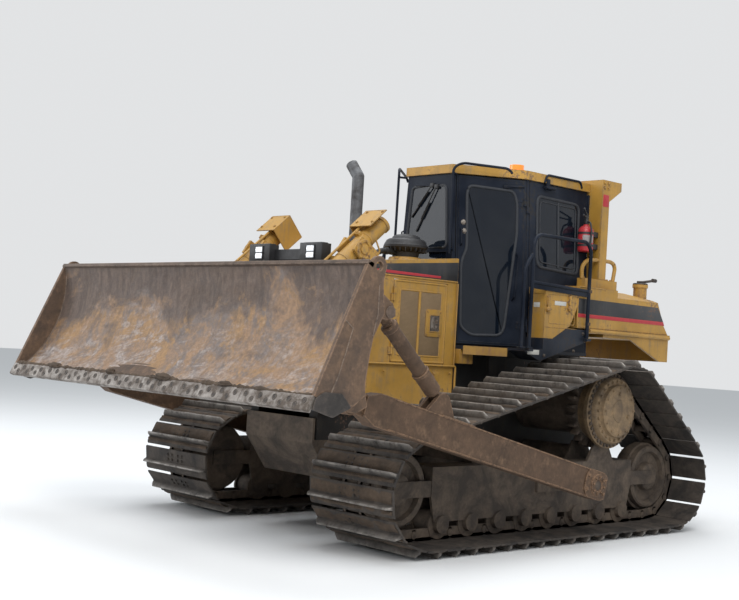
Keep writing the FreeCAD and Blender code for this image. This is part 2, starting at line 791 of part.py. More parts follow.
def build_front():
    """Engine block, radiator guard with its grille, hood, side panels and doors."""
    node("engine", box(across(S.engine_half), (S.engine_front_y, S.engine_rear_y),
                       (S.rail_low_z + 29, S.engine_high_z)))
    plate = S.guard_plate
    grille_y = S.nose_y + S.grille_depth
    side = box((S.guard_half - plate, S.guard_half), (S.nose_y, S.guard_rear_y),
               (S.rail_high_z, S.guard_high_z))
    guard = [side, mirror(side),
             box(across(S.guard_half), (grille_y, S.guard_rear_y),
                 (S.guard_high_z - plate, S.guard_high_z)),
             box(across(S.guard_half), (grille_y, S.guard_rear_y),
                 (S.rail_high_z, S.rail_high_z + plate))]
    node("radiator_guard", fuse(guard))
    node("radiator", box(across(S.guard_half - plate), (S.radiator_front_y, S.radiator_rear_y),
                         (S.rail_high_z + plate, S.guard_high_z - plate)))
    node("grille", box(across(S.guard_half - plate), (S.nose_y, grille_y),
                       (S.rail_high_z, S.guard_high_z)))
    sheet = S.hood_sheet
    hood_outer = profile("yz", [(S.guard_rear_y, S.hood_low_z), (S.hood_rear_y, S.hood_low_z),
                                (S.hood_rear_y, S.hood_rear_z), (S.guard_rear_y, S.guard_high_z)],
                         -S.hood_half, S.hood_half)
    hood_inner = profile("yz", [(S.guard_rear_y - 10, S.hood_low_z - 10),
                                (S.hood_rear_y + 10, S.hood_low_z - 10),
                                (S.hood_rear_y + 10, S.hood_rear_z - sheet),
                                (S.guard_rear_y - 10, S.guard_high_z - sheet)],
                         -(S.hood_half - sheet), S.hood_half - sheet)
    node("hood", cut(hood_outer, hood_inner))
    inner = S.hood_half - S.panel_sheet
    panel = box((inner, S.hood_half), (S.guard_rear_y, S.hood_rear_y), (S.rail_high_z, S.hood_low_z))
    opening = box((inner - 10, S.hood_half + 10),
                  (S.door_front_y - S.door_gap, S.door_rear_y + S.door_gap),
                  (S.door_low_z - S.door_gap, S.door_high_z + S.door_gap))
    hinge_x = S.hood_half + S.knuckle_radius
    hinge_y = S.door_front_y - S.door_gap / 2
    panel_parts = [cut(panel, opening)]
    door_parts = [box((inner, S.hood_half), (S.door_front_y, S.door_rear_y),
                      (S.door_low_z, S.door_high_z))]
    for low_z in (S.door_low_z + 60, S.door_high_z - 60 - 2 * S.knuckle_length):
        high_z = low_z + S.knuckle_length + S.pin_gap
        panel_parts.append(rod((hinge_x, hinge_y, low_z), S.knuckle_length, S.knuckle_radius, "z"))
        panel_parts.append(box((S.hood_half, hinge_x), (hinge_y - 34, hinge_y),
                               (low_z, low_z + S.knuckle_length)))
        door_parts.append(rod((hinge_x, hinge_y, high_z), S.knuckle_length, S.knuckle_radius, "z"))
        door_parts.append(box((S.hood_half, hinge_x), (hinge_y, hinge_y + 34),
                              (high_z, high_z + S.knuckle_length)))
    pair_of("side_panels", fuse(panel_parts))
    both_sides("engine_door", fuse(door_parts))
    low = hood_seat(S.stack_y, S.stack_radius + 40)
    node("exhaust_stack", fuse([rod((S.stack_x, S.stack_y, low), S.stack_top_z - low,
                                    S.stack_radius, "z"),
                                sphere((S.stack_x, S.stack_y, S.stack_top_z), S.stack_radius),
                                rod((S.stack_x, S.stack_y, S.stack_top_z), S.stack_spout, S.stack_radius,
                                    "lean",
                                    S.stack_bend),
                                rod((S.stack_x, S.stack_y, low), 30, S.stack_radius + 40, "z")]))
    low = hood_seat(S.intake_y, S.intake_radius * 0.62)
    dish_low = S.intake_top_z - S.intake_dome - S.intake_dish
    node("air_intake", fuse([rod((S.intake_x, S.intake_y, low), dish_low - low,
                                 S.intake_radius * 0.62, "z"),
                             rod((S.intake_x, S.intake_y, dish_low), S.intake_dish, S.intake_radius, "z"),
                             rod((S.intake_x, S.intake_y, dish_low + S.intake_dish), S.intake_dome,
                                 S.intake_radius * 0.62, "z")]))


def hood_seat(y, radius):
    """Height at which a round foot of this radius just stands on the sloping hood."""
    slope = (S.hood_rear_z - S.guard_high_z) / (S.hood_rear_y - S.guard_rear_y)
    return S.hood_rear_z - (S.hood_rear_y - y) * slope + slope * radius


def leaning(points, low_z, high_z):
    """A prism whose sides lean inward with the cab; the points are given at its floor."""
    rings = []
    for level in (low_z, high_z):
        share = (as_size(level).value - S.cab_floor_z.value) / (S.cab_top_z.value - S.cab_floor_z.value)
        ring_points = []
        for x, y in points:
            x = as_size(x).value
            lean = math.copysign(S.cab_lean.value * share, x)
            ring_points.append(VECTOR(x - lean, as_size(y).value, as_size(level).value))
        rings.append(ring_points)
    low, high = rings
    faces = [Part.Face(Part.makePolygon(line + line[:1])) for line in rings]
    for index in range(len(points)):
        after = (index + 1) % len(points)
        corners = [low[index], low[after], high[after], high[index], low[index]]
        faces.append(Part.Face(Part.makePolygon(corners)))
    solid = Part.Solid(Part.Shell(faces))
    if solid.Volume < 0:
        solid.reverse()
    piece = DOC.addObject("Part::Feature", "leaning_prism")
    piece.Shape = solid
    piece.Placement = FreeCAD.Placement(VECTOR(0, 0, 0), FreeCAD.Rotation())
    return piece


def cab_outline(inset):
    """The cab's plan at its floor, moved inward by an inset."""
    run_x = S.cab_side_half - S.cab_front_half
    run_y = S.cab_corner_y - S.cab_front_y
    slant = distance(run_x, run_y) / run_y * inset
    front = S.cab_front_half + run_x / run_y * inset - slant
    side = S.cab_side_half - inset
    corner = S.cab_front_y + (side - S.cab_front_half + slant) * run_y / run_x
    rows = [(front, S.cab_front_y + inset), (side, corner), (side, S.cab_rear_y - inset)]
    return rows + [(-x, y) for x, y in reversed(rows)]


def build_cab():
    """Hollow cab: floor, front, sides, rear, roof, two doors and the glass."""
    shell = cut(leaning(cab_outline(as_size(0)), S.cab_floor_z, S.cab_top_z),
                leaning(cab_outline(S.cab_wall), S.cab_floor_z, S.cab_top_z))
    pane_out = (S.cab_wall - S.glass) / 2
    pane = cut(leaning(cab_outline(pane_out), S.cab_floor_z, S.cab_top_z),
               leaning(cab_outline(pane_out + S.glass), S.cab_floor_z, S.cab_top_z))
    door_start = S.cab_front_y + S.cab_wall + 4
    door_end = S.cab_corner_y + 12
    gap = S.door_gap
    far = 1000
    high_z = S.cab_top_z - 60
    heights = (S.cab_floor_z, S.cab_top_z)
    front_box = leaning([(-S.cab_front_half - 60, S.cab_front_y - 10),
                         (S.cab_front_half + 60, S.cab_front_y - 10),
                         (S.cab_front_half - 40, door_start + 40 * S.door_bevel),
                         (40 - S.cab_front_half, door_start + 40 * S.door_bevel)],
                         S.cab_floor_z, S.cab_top_z)
    front_window = box(across(S.cab_front_half - S.cab_lean - 30),
                       (S.cab_front_y - 20, S.cab_front_y + 80),
                       (S.window_low_z, high_z))
    node("cab_front", cut(common(shell, front_box), front_window))
    side_box = box((0, far), (door_end, S.cab_rear_y - S.cab_wall), heights)
    side_window = box((300, far), (door_end + S.side_post, S.cab_rear_y - S.cab_wall - S.rear_post),
                      (S.window_low_z, high_z))
    side_pane = common(pane, side_window)
    rear_box = box((-far, far), (S.cab_rear_y - S.cab_wall, S.cab_rear_y), heights)
    rear_window = box(across(S.cab_side_half - S.cab_lean - 100), (S.cab_rear_y - 80, S.cab_rear_y + 20),
                      (S.window_low_z, high_z))
    node("cab_rear", cut(common(shell, rear_box), rear_window))
    node("cab_glass", set_of([common(pane, front_window), common(pane, rear_window), side_pane,
                              mirror(side_pane)]))
    door_box = leaning([(S.cab_front_half - 100, door_start + gap + 100 * S.door_bevel),
                        (S.cab_front_half + 100, door_start + gap - 100 * S.door_bevel),
                        (S.cab_side_half + 100, S.cab_front_y), (S.cab_side_half + 100, door_end - gap),
                        (S.cab_front_half - 100, door_end - gap)], S.cab_floor_z, S.cab_top_z)
    door_box = common(door_box, box((0, far), (0, far), (S.cab_floor_z + 26, S.cab_top_z - 10)))
    door_window = box((150, far), (door_start + 70, door_end - 70),
                      (S.cab_floor_z + S.cab_sill + 60, high_z))
    height = S.cab_top_z - S.cab_floor_z
    lean = slope_angle(S.cab_lean, height)
    hinge_y = door_end - gap / 2
    side_parts = [cut(common(shell, side_box), side_window)]
    door_parts = [cut(common(shell, door_box), door_window)]
    for share in (0.1, 0.8):
        low = (S.cab_side_half + S.knuckle_radius - S.cab_lean * share, hinge_y,
               S.cab_floor_z + height * share)
        rise = S.knuckle_length + S.pin_gap
        high = (low[0] - rise * sine(lean), hinge_y, low[2] + rise * cosine(lean))
        for at, parts, wide in ((low, side_parts, (0, 40)), (high, door_parts, (-40, 0))):
            parts.append(rod(at, S.knuckle_length, S.knuckle_radius, "lean", lean))
            leaf = box((-30, 0), wide, (0, S.knuckle_length))
            parts.append(place(leaf, (at[0] - 30 * cosine(lean), hinge_y + wide[0],
                                      at[2] - 30 * sine(lean)),
                               (0, 1, 0), -lean))
    both_sides("cab_side", fuse(side_parts))
    both_sides("cab_door", fuse(door_parts))
    both_sides("door_glass", common(pane, door_window))
    node("cab_floor", leaning(cab_outline(S.cab_wall + S.door_room), S.cab_floor_z, S.cab_floor_z + 30))
    top = [(x - S.cab_lean, y) if x.value > 0 else (x + S.cab_lean, y)
           for x, y in cab_outline(-S.roof_lip)]
    node("cab_roof", profile("xy", top, S.cab_top_z, S.cab_top_z + S.roof_thick))
    roof_z = S.cab_top_z + S.roof_thick
    base = S.beacon_height / 3
    node("beacon", fuse([rod((S.beacon_x, S.beacon_y, roof_z), base, S.beacon_radius + 14, "z"),
                         rod((S.beacon_x, S.beacon_y, roof_z + base), S.beacon_height - base,
                             S.beacon_radius, "z")]))
    floor_z = S.cab_floor_z + 30
    pad_z = floor_z + S.seat_rise
    seat_rear_y = S.seat_front_y + S.seat_length
    node("seat", fuse([
        box(across(S.seat_stem), (S.seat_front_y + S.seat_stem, seat_rear_y - S.seat_stem),
            (floor_z, pad_z)),
        box(across(S.seat_half), (S.seat_front_y, seat_rear_y), (pad_z, pad_z + S.seat_pad)),
        box(across(S.seat_half), (seat_rear_y - S.seat_back / 2, seat_rear_y + S.seat_back / 2),
            (pad_z + S.seat_pad, pad_z + S.seat_pad + S.seat_back_high))]))
    dash_y = S.cab_front_y + S.cab_wall
    node("dash", box(across(S.dash_half), (dash_y, dash_y + S.dash_depth),
                     (floor_z, S.window_low_z - 40)))


def build_rear():
    """Deck, tank, fenders, boxes, hand rail and roll-over bar."""
    node("deck", profile("xy", [
        (-S.deck_front_half, S.hood_rear_y + 12), (S.deck_front_half, S.hood_rear_y + 12),
        (S.cab_side_half, S.fender_front_y),
        (S.cab_side_half, S.tank_front_y), (-S.cab_side_half, S.tank_front_y),
        (-S.cab_side_half, S.fender_front_y)], S.deck_low_z, S.cab_floor_z))
    tank = profile("yz", [
        (S.tank_front_y, S.tank_low_z), (S.tank_rear_y, S.tank_low_z), (S.tank_rear_y, S.tank_step_z),
        (S.tank_step_y, S.tank_step_z), (S.tank_knee_y, S.tank_knee_z),
        (S.tank_top_rear_y, S.tank_high_z),
        (S.tank_front_y, S.tank_high_z)], -TANK_HALF, TANK_HALF)
    crown_top = profile("yz", [
        (S.tank_front_y, S.tank_high_z - 10), (S.tank_top_rear_y, S.tank_high_z - 10),
        (S.tank_top_rear_y, S.tank_high_z), (S.tank_top_rear_y - 26, S.tank_high_z + 50),
        (S.tank_crown_y, S.tank_crown_z), (S.tank_front_y, S.tank_crown_z)], -TANK_HALF, TANK_HALF)
    crown_side = profile("xz", [
        (-TANK_HALF, S.tank_high_z - 10), (TANK_HALF, S.tank_high_z - 10),
        (TANK_HALF, S.tank_high_z + 30),
        (S.tank_crown_half, S.tank_crown_z), (-S.tank_crown_half, S.tank_crown_z),
        (-TANK_HALF, S.tank_high_z + 30)], S.tank_front_y, S.tank_top_rear_y)
    crown = common(crown_top, crown_side)
    saddle = box(across(S.rail_inner_x), (S.tank_front_y, S.case_rear_y), (S.deck_low_z, S.tank_low_z))
    brow = box((BOX_INNER_X, TANK_HALF), (S.tank_front_y, S.shoulder_rear_y),
               (S.tank_high_z, S.tank_crown_z))
    skirt = profile("yz", [
        (S.skirt_front_y, S.tank_low_z), (S.skirt_front_y + 100, S.skirt_low_z + 156),
        (S.tank_rear_y - 209, S.skirt_low_z), (S.tank_rear_y, S.skirt_low_z),
        (S.tank_rear_y, S.tank_low_z)],
        TANK_HALF - S.skirt_plate, TANK_HALF)
    apron = box(across(TANK_HALF), (S.tank_rear_y - S.skirt_plate, S.tank_rear_y),
                (S.skirt_low_z, S.tank_low_z))
    corner_x, corner_y = TANK_HALF - S.tank_corner, S.tank_rear_y - S.tank_corner
    gusset = box((corner_x - S.skirt_plate, TANK_HALF), (corner_y - S.skirt_plate, S.tank_rear_y),
                 (S.skirt_low_z, S.tank_low_z))
    shave = profile("xy", [
        (corner_x, S.tank_rear_y), (TANK_HALF, corner_y), (TANK_HALF + 50, corner_y),
        (TANK_HALF + 50, S.tank_rear_y + 50), (corner_x, S.tank_rear_y + 50)],
        S.skirt_low_z - 10, S.tank_high_z)
    ledge_wide = (TANK_HALF - 5, TANK_HALF + S.ledge_depth)
    ledge_high = (S.ledge_low_z, S.ledge_high_z)
    ledge = box(ledge_wide, (S.tank_front_y, S.tank_step_y), ledge_high)
    front_y = S.box_rear_y + S.fender_room
    ledge_y = S.fender_rear_y + S.fender_room
    shoulder = profile("yz", [
        (front_y, S.ledge_high_z), (ledge_y, S.ledge_high_z), (ledge_y, S.ledge_low_z),
        (S.tank_front_y, S.ledge_low_z), (S.tank_front_y, S.tank_crown_z), (front_y, S.tank_crown_z)],
        BOX_INNER_X, TANK_HALF)
    pair_of("tank_shoulders", fuse([shoulder, box(ledge_wide, (ledge_y, S.tank_front_y), ledge_high)]))
    neck = (S.filler_x, S.filler_y)
    filler = rod(neck + (S.tank_crown_z - S.filler_root,), S.filler_height + S.filler_root,
                 S.filler_radius, "z")
    lid = rod(neck + (S.tank_crown_z + S.filler_height,), 32, S.filler_radius + 16, "z")
    whole = fuse([tank, crown, saddle, brow, mirror(brow), skirt, mirror(skirt), apron,
                  gusset, mirror(gusset), ledge, mirror(ledge), filler, lid])
    node("fuel_tank", cut(cut(whole, shave), mirror(shave)))
    plate_top = S.fender_low_z + S.fender_plate
    step_y = S.box_front_y + S.box_step_length
    riser = profile("yz", [
        (S.fender_front_y, S.fender_low_z), (S.fender_keel_y - 50, S.fender_keel_z + 7),
        (S.fender_keel_y, S.fender_keel_z), (S.fender_rear_y, S.fender_keel_z + 196),
        (S.fender_rear_y, S.fender_high_z + 100), (step_y + S.box_slope_length - 40,
                                                   S.fender_high_z + 100),
        (step_y, S.fender_high_z), (S.box_front_y, S.fender_high_z), (S.box_front_y, plate_top),
        (S.fender_front_y, plate_top)], S.cab_side_half, BOX_OUTER_X)
    front_foot = box((BOX_OUTER_X, HAND_RAIL_X + 30),
                     (S.hand_rail_front_y - 30, S.hand_rail_front_y + 30), (S.fender_low_z, plate_top))
    rear_foot_z = S.fender_high_z + S.fender_plate
    rear_foot = box((BOX_OUTER_X, HAND_RAIL_X + 30), (S.hand_rail_rear_y - 30, S.hand_rail_rear_y + 30),
                    (S.fender_high_z, rear_foot_z))
    pair_of("fenders", fuse([riser, front_foot, rear_foot]))
    locker = profile("yz", [
        (S.box_front_y, S.fender_high_z), (step_y, S.fender_high_z),
        (step_y + S.box_slope_length, S.fender_high_z + S.box_slope_height),
        (S.box_rear_y - S.box_lip_depth, S.fender_high_z + S.box_heel_height),
        (S.box_rear_y, S.fender_high_z + S.box_lip_height), (S.box_rear_y, S.box_high_z),
        (S.box_front_y, S.box_high_z)], BOX_INNER_X, BOX_OUTER_X)
    node("tool_box", locker)
    node("hydraulic_tank", mirror(locker))
    pair_of("hand_rails", hoop(HAND_RAIL_X, S.hand_rail_front_y, S.hand_rail_rear_y,
                               (plate_top, rear_foot_z),
                               S.hand_rail_top_z, S.hand_rail_bend, S.rail_tube_radius))
    inner = BAR_OUTER_X - S.bar_width
    rear = S.bar_front_y + S.bar_depth
    post = box((inner, BAR_OUTER_X), (S.bar_front_y, rear), (S.bar_low_z, BAR_TOP_Z))
    beam = box(across(BAR_OUTER_X), (S.bar_front_y, rear), (BAR_TOP_Z - S.bar_beam, BAR_TOP_Z))
    cap_z = BAR_TOP_Z - S.bar_beam - S.bar_cap_drop
    cap = profile("yz", [(rear - 20, cap_z), (rear, cap_z),
                         (rear + S.bar_cap, BAR_TOP_Z - 80), (rear + S.bar_cap, BAR_TOP_Z),
                         (rear - 20, BAR_TOP_Z)], inner, BAR_OUTER_X)
    foot = box((BOX_INNER_X, BAR_OUTER_X + S.bar_foot_room),
               (S.bar_foot_y, S.bar_foot_y + S.bar_foot_length),
               (S.bar_low_z, S.bar_low_z + S.bar_foot_height))
    node("roll_over_bar", fuse([post, mirror(post), beam, cap, mirror(cap), foot, mirror(foot)]))
    bottle_x = BAR_OUTER_X - S.bottle_inset
    bottle = (bottle_x, S.bottle_y)
    node("extinguisher", fuse([
        rod(bottle + (S.bottle_low_z,), S.bottle_high_z - S.bottle_low_z, S.bottle_radius, "z"),
        sphere(bottle + (S.bottle_high_z,), S.bottle_radius),
        rod(bottle + (S.bottle_high_z,), S.bottle_radius + 85, S.bottle_radius * 0.3, "z"),
        box((bottle_x - 15, bottle_x + 15), (S.bottle_y, S.bar_front_y),
            (S.bottle_low_z + 60, S.bottle_high_z - 45))]))


def hoop(x, front, rear, feet, high, bend, radius):
    """A bent tube standing on two feet, at two heights, in a YZ plane."""
    x, front, rear, low, rear_low, high, bend, radius = [
        as_size(item).value for item in (x, front, rear, *feet, high, bend, radius)]
    cut_in = bend * (1 - math.sqrt(0.5))
    path = Part.Wire([
        Part.LineSegment(VECTOR(x, front, low), VECTOR(x, front, high - bend)).toShape(),
        Part.Arc(VECTOR(x, front, high - bend), VECTOR(x, front + cut_in, high - cut_in),
                 VECTOR(x, front + bend, high)).toShape(),
        Part.LineSegment(VECTOR(x, front + bend, high), VECTOR(x, rear - bend, high)).toShape(),
        Part.Arc(VECTOR(x, rear - bend, high), VECTOR(x, rear - cut_in, high - cut_in),
                 VECTOR(x, rear, high - bend)).toShape(),
        Part.LineSegment(VECTOR(x, rear, high - bend), VECTOR(x, rear, rear_low)).toShape()])
    section = Part.Wire(Part.Circle(VECTOR(x, front, low), VECTOR(0, 0, 1), radius).toShape())
    tube = DOC.addObject("Part::Feature", "bent_tube")
    tube.Shape = path.makePipeShell([section], True, False)
    tube.Placement = FreeCAD.Placement(VECTOR(0, 0, 0), FreeCAD.Rotation())
    return tube


def blade_point(back, up):
    """World y and z of a point given in the blade's own frame."""
    return (S.edge_y + back * cosine(S.blade_lean) + up * sine(S.blade_lean),
            S.edge_z - back * sine(S.blade_lean) + up * cosine(S.blade_lean))


def along_slope(at, angle, reach):
    """A point moved forward and down a slope from another."""
    return (at[0], at[1] - reach * cosine(angle), at[2] - reach * sine(angle))


def build_lift():
    """Yokes on the radiator guard, and the two lift cylinders."""
    pin_y, pin_z = blade_point(S.lift_pin_back, S.lift_pin_up)
    angle = slope_angle(S.yoke_z - pin_z, S.yoke_y - pin_y)
    centre = (S.lift_x, S.yoke_y, S.yoke_z)
    inner = S.lift_x - S.lift_barrel_radius - S.yoke_gap
    outer = S.lift_x + S.lift_barrel_radius + S.yoke_gap
    outline = [(-80, -66), (60, -80), (150, -80), (150, 80), (60, 80), (-80, 66)]
    turn = -(angle - 6)
    arms = profile("yz", outline, inner - S.yoke_arm, outer + S.yoke_arm,
                   (0, S.yoke_y, S.yoke_z), turn)
    slot = profile("yz", [(-90, -90), (106, -90), (106, 90), (-90, 90)], inner, outer,
                   (0, S.yoke_y, S.yoke_z), turn)
    bore = rod((inner - S.yoke_arm - 10, S.yoke_y, S.yoke_z), 2 * (S.lift_barrel_radius + S.yoke_gap
               + S.yoke_arm) + 20, S.lift_pin_radius + S.pin_gap)
    root_box = box((S.guard_half, inner - S.yoke_arm), (S.yoke_y + 55, S.yoke_y + 190),
                   (S.yoke_z - 230, S.yoke_z - 58))
    pair_of("lift_yokes", cut(cut(fuse([arms, root_box]), slot), bore))
    tail = along_slope(centre, angle, -S.lift_tail)
    barrel = rod(tail, S.lift_tail + S.lift_nose, S.lift_barrel_radius, "slope", angle)
    boss = rod((inner - S.yoke_arm, S.yoke_y, S.yoke_z),
               2 * (S.lift_barrel_radius + S.yoke_gap + S.yoke_arm), S.lift_pin_radius)
    hollow = rod(along_slope(centre, angle, -S.lift_tail + 25), S.lift_tail + S.lift_nose,
                 S.lift_rod_radius + S.pin_gap, "slope", angle)
    top = S.lift_guard_room
    tail_end = S.lift_tail + 25
    guard = [(tail_end - S.lift_guard_length, top), (tail_end, top), (tail_end, top + S.lift_guard_sheet),
             (tail_end - S.lift_guard_length, top + S.lift_guard_sheet)]
    wall = [(tail_end - S.lift_guard_length, -top), (tail_end, -top), (tail_end, top + 2),
            (tail_end - S.lift_guard_length, top + 2)]
    post = [(tail_end - 120, 0), (tail_end - 60, 0), (tail_end - 60, top + 2), (tail_end - 120, top + 2)]
    inner_wall = S.lift_x - S.lift_guard_room - 20
    guards = [profile("yz", outline, low_x, high_x, (0, S.yoke_y, S.yoke_z), angle)
              for outline, low_x, high_x in ((guard, inner_wall, S.lift_x + S.lift_guard_room),
                                             (wall, inner_wall, inner_wall + S.lift_guard_sheet),
                                             (post, S.lift_x - 20, S.lift_x + 20))]
    both_sides("lift_barrel", cut(fuse([barrel, boss] + guards), hollow))
    reach = distance(S.yoke_y - pin_y, S.yoke_z - pin_z)
    shaft = rod(along_slope(centre, angle, -S.lift_tail + 45), reach + S.lift_tail - 45,
                S.lift_rod_radius, "slope", angle)
    eye = rod((S.lift_x - S.lift_eye_width / 2, pin_y, pin_z), S.lift_eye_width, S.lift_eye_radius)
    both_sides("lift_rod", fuse([shaft, eye]))


def in_blade(points, low_x, high_x):
    """An outline in the blade's own frame, padded across it."""
    return profile("yz", points, low_x, high_x, (0, S.edge_y, S.edge_z), -S.blade_lean)


ARM_RISE = S.arm_joint_z - S.trunnion_z
ARM_RUN = S.trunnion_y - S.arm_joint_y
ARM_ANGLE = slope_angle(ARM_RISE, ARM_RUN)
ARM_LENGTH = distance(ARM_RUN, ARM_RISE)
ARM_X = ARM_OUTER_X - S.arm_width / 2


def to_blade_frame(y, z):
    """A world point given in the blade's own frame."""
    dy = y - S.edge_y
    dz = z - S.edge_z
    return (dy * cosine(S.blade_lean) - dz * sine(S.blade_lean),
            dy * sine(S.blade_lean) + dz * cosine(S.blade_lean))


def build_blade():
    """Moldboard with its box beam, end plates and ears, and the cutting edge."""
    low = 60
    height = S.blade_height
    sheet = S.blade_sheet
    curve = S.blade_curve
    edge = S.edge_plate
    half = BLADE_HALF
    parts = [in_blade([(edge, low, curve), (0, height), (sheet, height, -(curve + sheet)),
                       (edge + sheet, low)], -half, half),
             in_blade([(edge, 30), (300, 120), (335, 300), (196, 430), (176, 430), (149, 300),
                       (96, 160), (edge + 8, low)], -half, half),
             in_blade([(12, height), (110, height), (110, height - 99), (62, height - 94)], -half, half)]
    up = S.lift_pin_up
    back = S.lift_pin_back
    lift_ear = [(130, up - 130), (back, up - 75), (back + 75, up), (back, up + 75), (130, up + 130)]
    joint_back, joint_up = to_blade_frame(S.arm_joint_y, S.arm_joint_z)
    arm_ear = [(200, 100), (joint_back, joint_up - 82), (joint_back + 70, joint_up),
               (joint_back, joint_up + 82),
               (200, 400)]
    top_back, top_up = to_blade_frame(S.brace_top_y, S.brace_top_z)
    brace_ear = [(60, top_up - 190), (top_back, top_up - 62), (top_back + 60, top_up),
                 (top_back, top_up + 62),
                 (30, height)]
    ring = S.lift_ring_radius
    eye_back, eye_up = S.lift_hole_back, S.lift_hole_up
    end_plate = [(edge, 40), (edge, S.edge_height), (0, S.edge_height), (0, height - 20),
                 (eye_back - ring, eye_up, -ring), (eye_back, eye_up + ring, -ring),
                 (eye_back + ring, eye_up),
                 (eye_back + ring + 20, height - 70), (285, 834), (272, 660), (300, 540), (350, 370),
                 (390, 290),
                 (335, 190)]
    ahead = in_blade([(edge, low, curve), (0, height), (-200, height + 200), (-200, low)], -half, half)
    plates = [(lift_ear, S.lift_x, S.lift_eye_width / 2 + S.ear_gap, S.ear_plate),
              (arm_ear, ARM_X, S.tongue_width / 2 + S.arm_ear_gap, S.ear_plate),
              (brace_ear, ARM_X, S.brace_eye_width / 2 + S.brace_ear_gap, S.ear_plate)]
    for outline, centre, room, plate in plates:
        for low_x in (centre + room, centre - room - plate):
            ear = cut(in_blade(outline, low_x, low_x + plate), ahead)
            parts += [ear, mirror(ear)]
    ear_room = S.tongue_width / 2 + S.arm_ear_gap
    pin = rod((ARM_X - ear_room, S.arm_joint_y, S.arm_joint_z), 2 * ear_room, S.joint_pin_radius)
    ball = sphere((ARM_X, S.arm_joint_y, S.arm_joint_z), S.joint_ball_radius)
    eye_y, eye_z = blade_point(eye_back, eye_up)
    end = cut(in_blade(end_plate, half, half + S.end_plate),
              rod((half - 10, eye_y, eye_z), S.end_plate + 20, S.lift_hole_radius))
    parts += [pin, mirror(pin), ball, mirror(ball), end, mirror(end)]
    node("blade", fuse(parts))
    node("cutting_edge", in_blade([(0, 0), (edge, 0), (edge, S.edge_height - 14), (12, S.edge_height),
                                   (0, S.edge_height - 6)], -EDGE_HALF, EDGE_HALF))


def in_arm(points, low_x, high_x):
    """An outline in the push arm's own frame: origin at its trunnion, -y along the arm."""
    return profile("yz", points, low_x, high_x, (0, S.trunnion_y, S.trunnion_z), -ARM_ANGLE)


def build_arms():
    """Push arms on their trunnion balls."""
    half = S.arm_height / 2
    inner = ARM_OUTER_X - S.arm_width
    beam = in_arm([(S.arm_tail, -half + 25), (S.arm_tail, half - 25), (S.arm_tail - 60, half),
                   (-ARM_LENGTH + 230, half), (-ARM_LENGTH + 110, half - 50),
                   (-ARM_LENGTH + 110, 50 - half),
                   (-ARM_LENGTH + 230, -half), (S.arm_tail - 60, -half)], inner, ARM_OUTER_X)
    tongue_sides = (ARM_X - S.tongue_width / 2, ARM_X + S.tongue_width / 2)
    tongue = in_arm([(-ARM_LENGTH + 240, -75), (-ARM_LENGTH + 240, 75), (-ARM_LENGTH, 75),
                     (-ARM_LENGTH, -75)],
                    *tongue_sides)
    nose = rod((tongue_sides[0], S.arm_joint_y, S.arm_joint_z), S.tongue_width, S.tongue_radius)
    reach = S.joint_ball_radius + S.joint_ball_gap
    travel = reach + S.joint_slot
    slot = in_arm([(-ARM_LENGTH - travel, -reach), (-ARM_LENGTH + travel, -reach),
                   (-ARM_LENGTH + travel, reach + S.joint_rise),
                   (-ARM_LENGTH - travel, reach + S.joint_rise)],
                  tongue_sides[0] - 10, tongue_sides[1] + 10)
    dy = S.brace_low_y - S.trunnion_y
    dz = S.brace_low_z - S.trunnion_z
    lug_y = dy * cosine(ARM_ANGLE) - dz * sine(ARM_ANGLE)
    lug_z = dy * sine(ARM_ANGLE) + dz * cosine(ARM_ANGLE)
    lug = [(lug_y - 150, half - 6), (lug_y - 48, lug_z + 30), (lug_y, lug_z + 52),
           (lug_y + 48, lug_z + 30),
           (lug_y + 150, half - 6)]
    lug_gap = S.brace_eye_width / 2 + S.pin_gap
    parts = [beam, tongue, nose, in_arm(lug, inner, ARM_X - lug_gap),
             in_arm(lug, ARM_X + lug_gap, ARM_OUTER_X)]
    ball = sphere((ARM_X, S.trunnion_y, S.trunnion_z), S.trunnion_ball_radius)
    socket = sphere((ARM_X, S.trunnion_y, S.trunnion_z), S.trunnion_ball_radius + S.pin_gap)
    both_sides("push_arm", cut(cut(fuse(parts), socket), slot))
    neck_x = inner - S.shaft_gap + S.pin_gap
    neck = rod((neck_x, S.trunnion_y, S.trunnion_z), ARM_X - neck_x, S.trunnion_radius - 20)
    joint = fuse([ball, neck])
    node("trunnion_balls", set_of([joint, mirror(joint)]))


def build_braces():
    """Screw brace on the left, tilt cylinder on the right."""
    low = (ARM_X, S.brace_low_y, S.brace_low_z)
    rise = S.brace_top_z - S.brace_low_z
    run = S.brace_low_y - S.brace_top_y
    angle = -slope_angle(rise, run)
    length = distance(rise, run)
    eye = lambda y, z: rod((ARM_X - S.brace_eye_width / 2, y, z), S.brace_eye_width, S.brace_eye_radius)
    low_eye = eye(S.brace_low_y, S.brace_low_z)
    top_eye = eye(S.brace_top_y, S.brace_top_z)
    joint = length * (1 - S.brace_rod_share)
    tube = rod(along_slope(low, angle, 78), joint - 78, S.brace_tube_radius, "slope", angle)
    neck = rod(low, 90, S.brace_rod_radius - 6, "slope", angle)
    thread = rod(along_slope(low, angle, joint - 40), length - joint + 40, S.brace_rod_radius,
                 "slope", angle)
    node("left_brace", fuse([low_eye, neck, tube, thread, top_eye]))
    barrel = rod(along_slope(low, angle, 100), joint - 100, S.tilt_barrel_radius, "slope", angle)
    hollow = rod(along_slope(low, angle, 130), length, S.brace_rod_radius + S.pin_gap, "slope", angle)
    neck = rod(low, 110, S.brace_rod_radius - 6, "slope", angle)
    node("tilt_barrel", mirror(cut(fuse([eye(S.brace_low_y, S.brace_low_z), neck, barrel]), hollow)))
    shaft = rod(along_slope(low, angle, 250), length - 250, S.brace_rod_radius, "slope", angle)
    node("tilt_rod", mirror(fuse([shaft, eye(S.brace_top_y, S.brace_top_z)])))


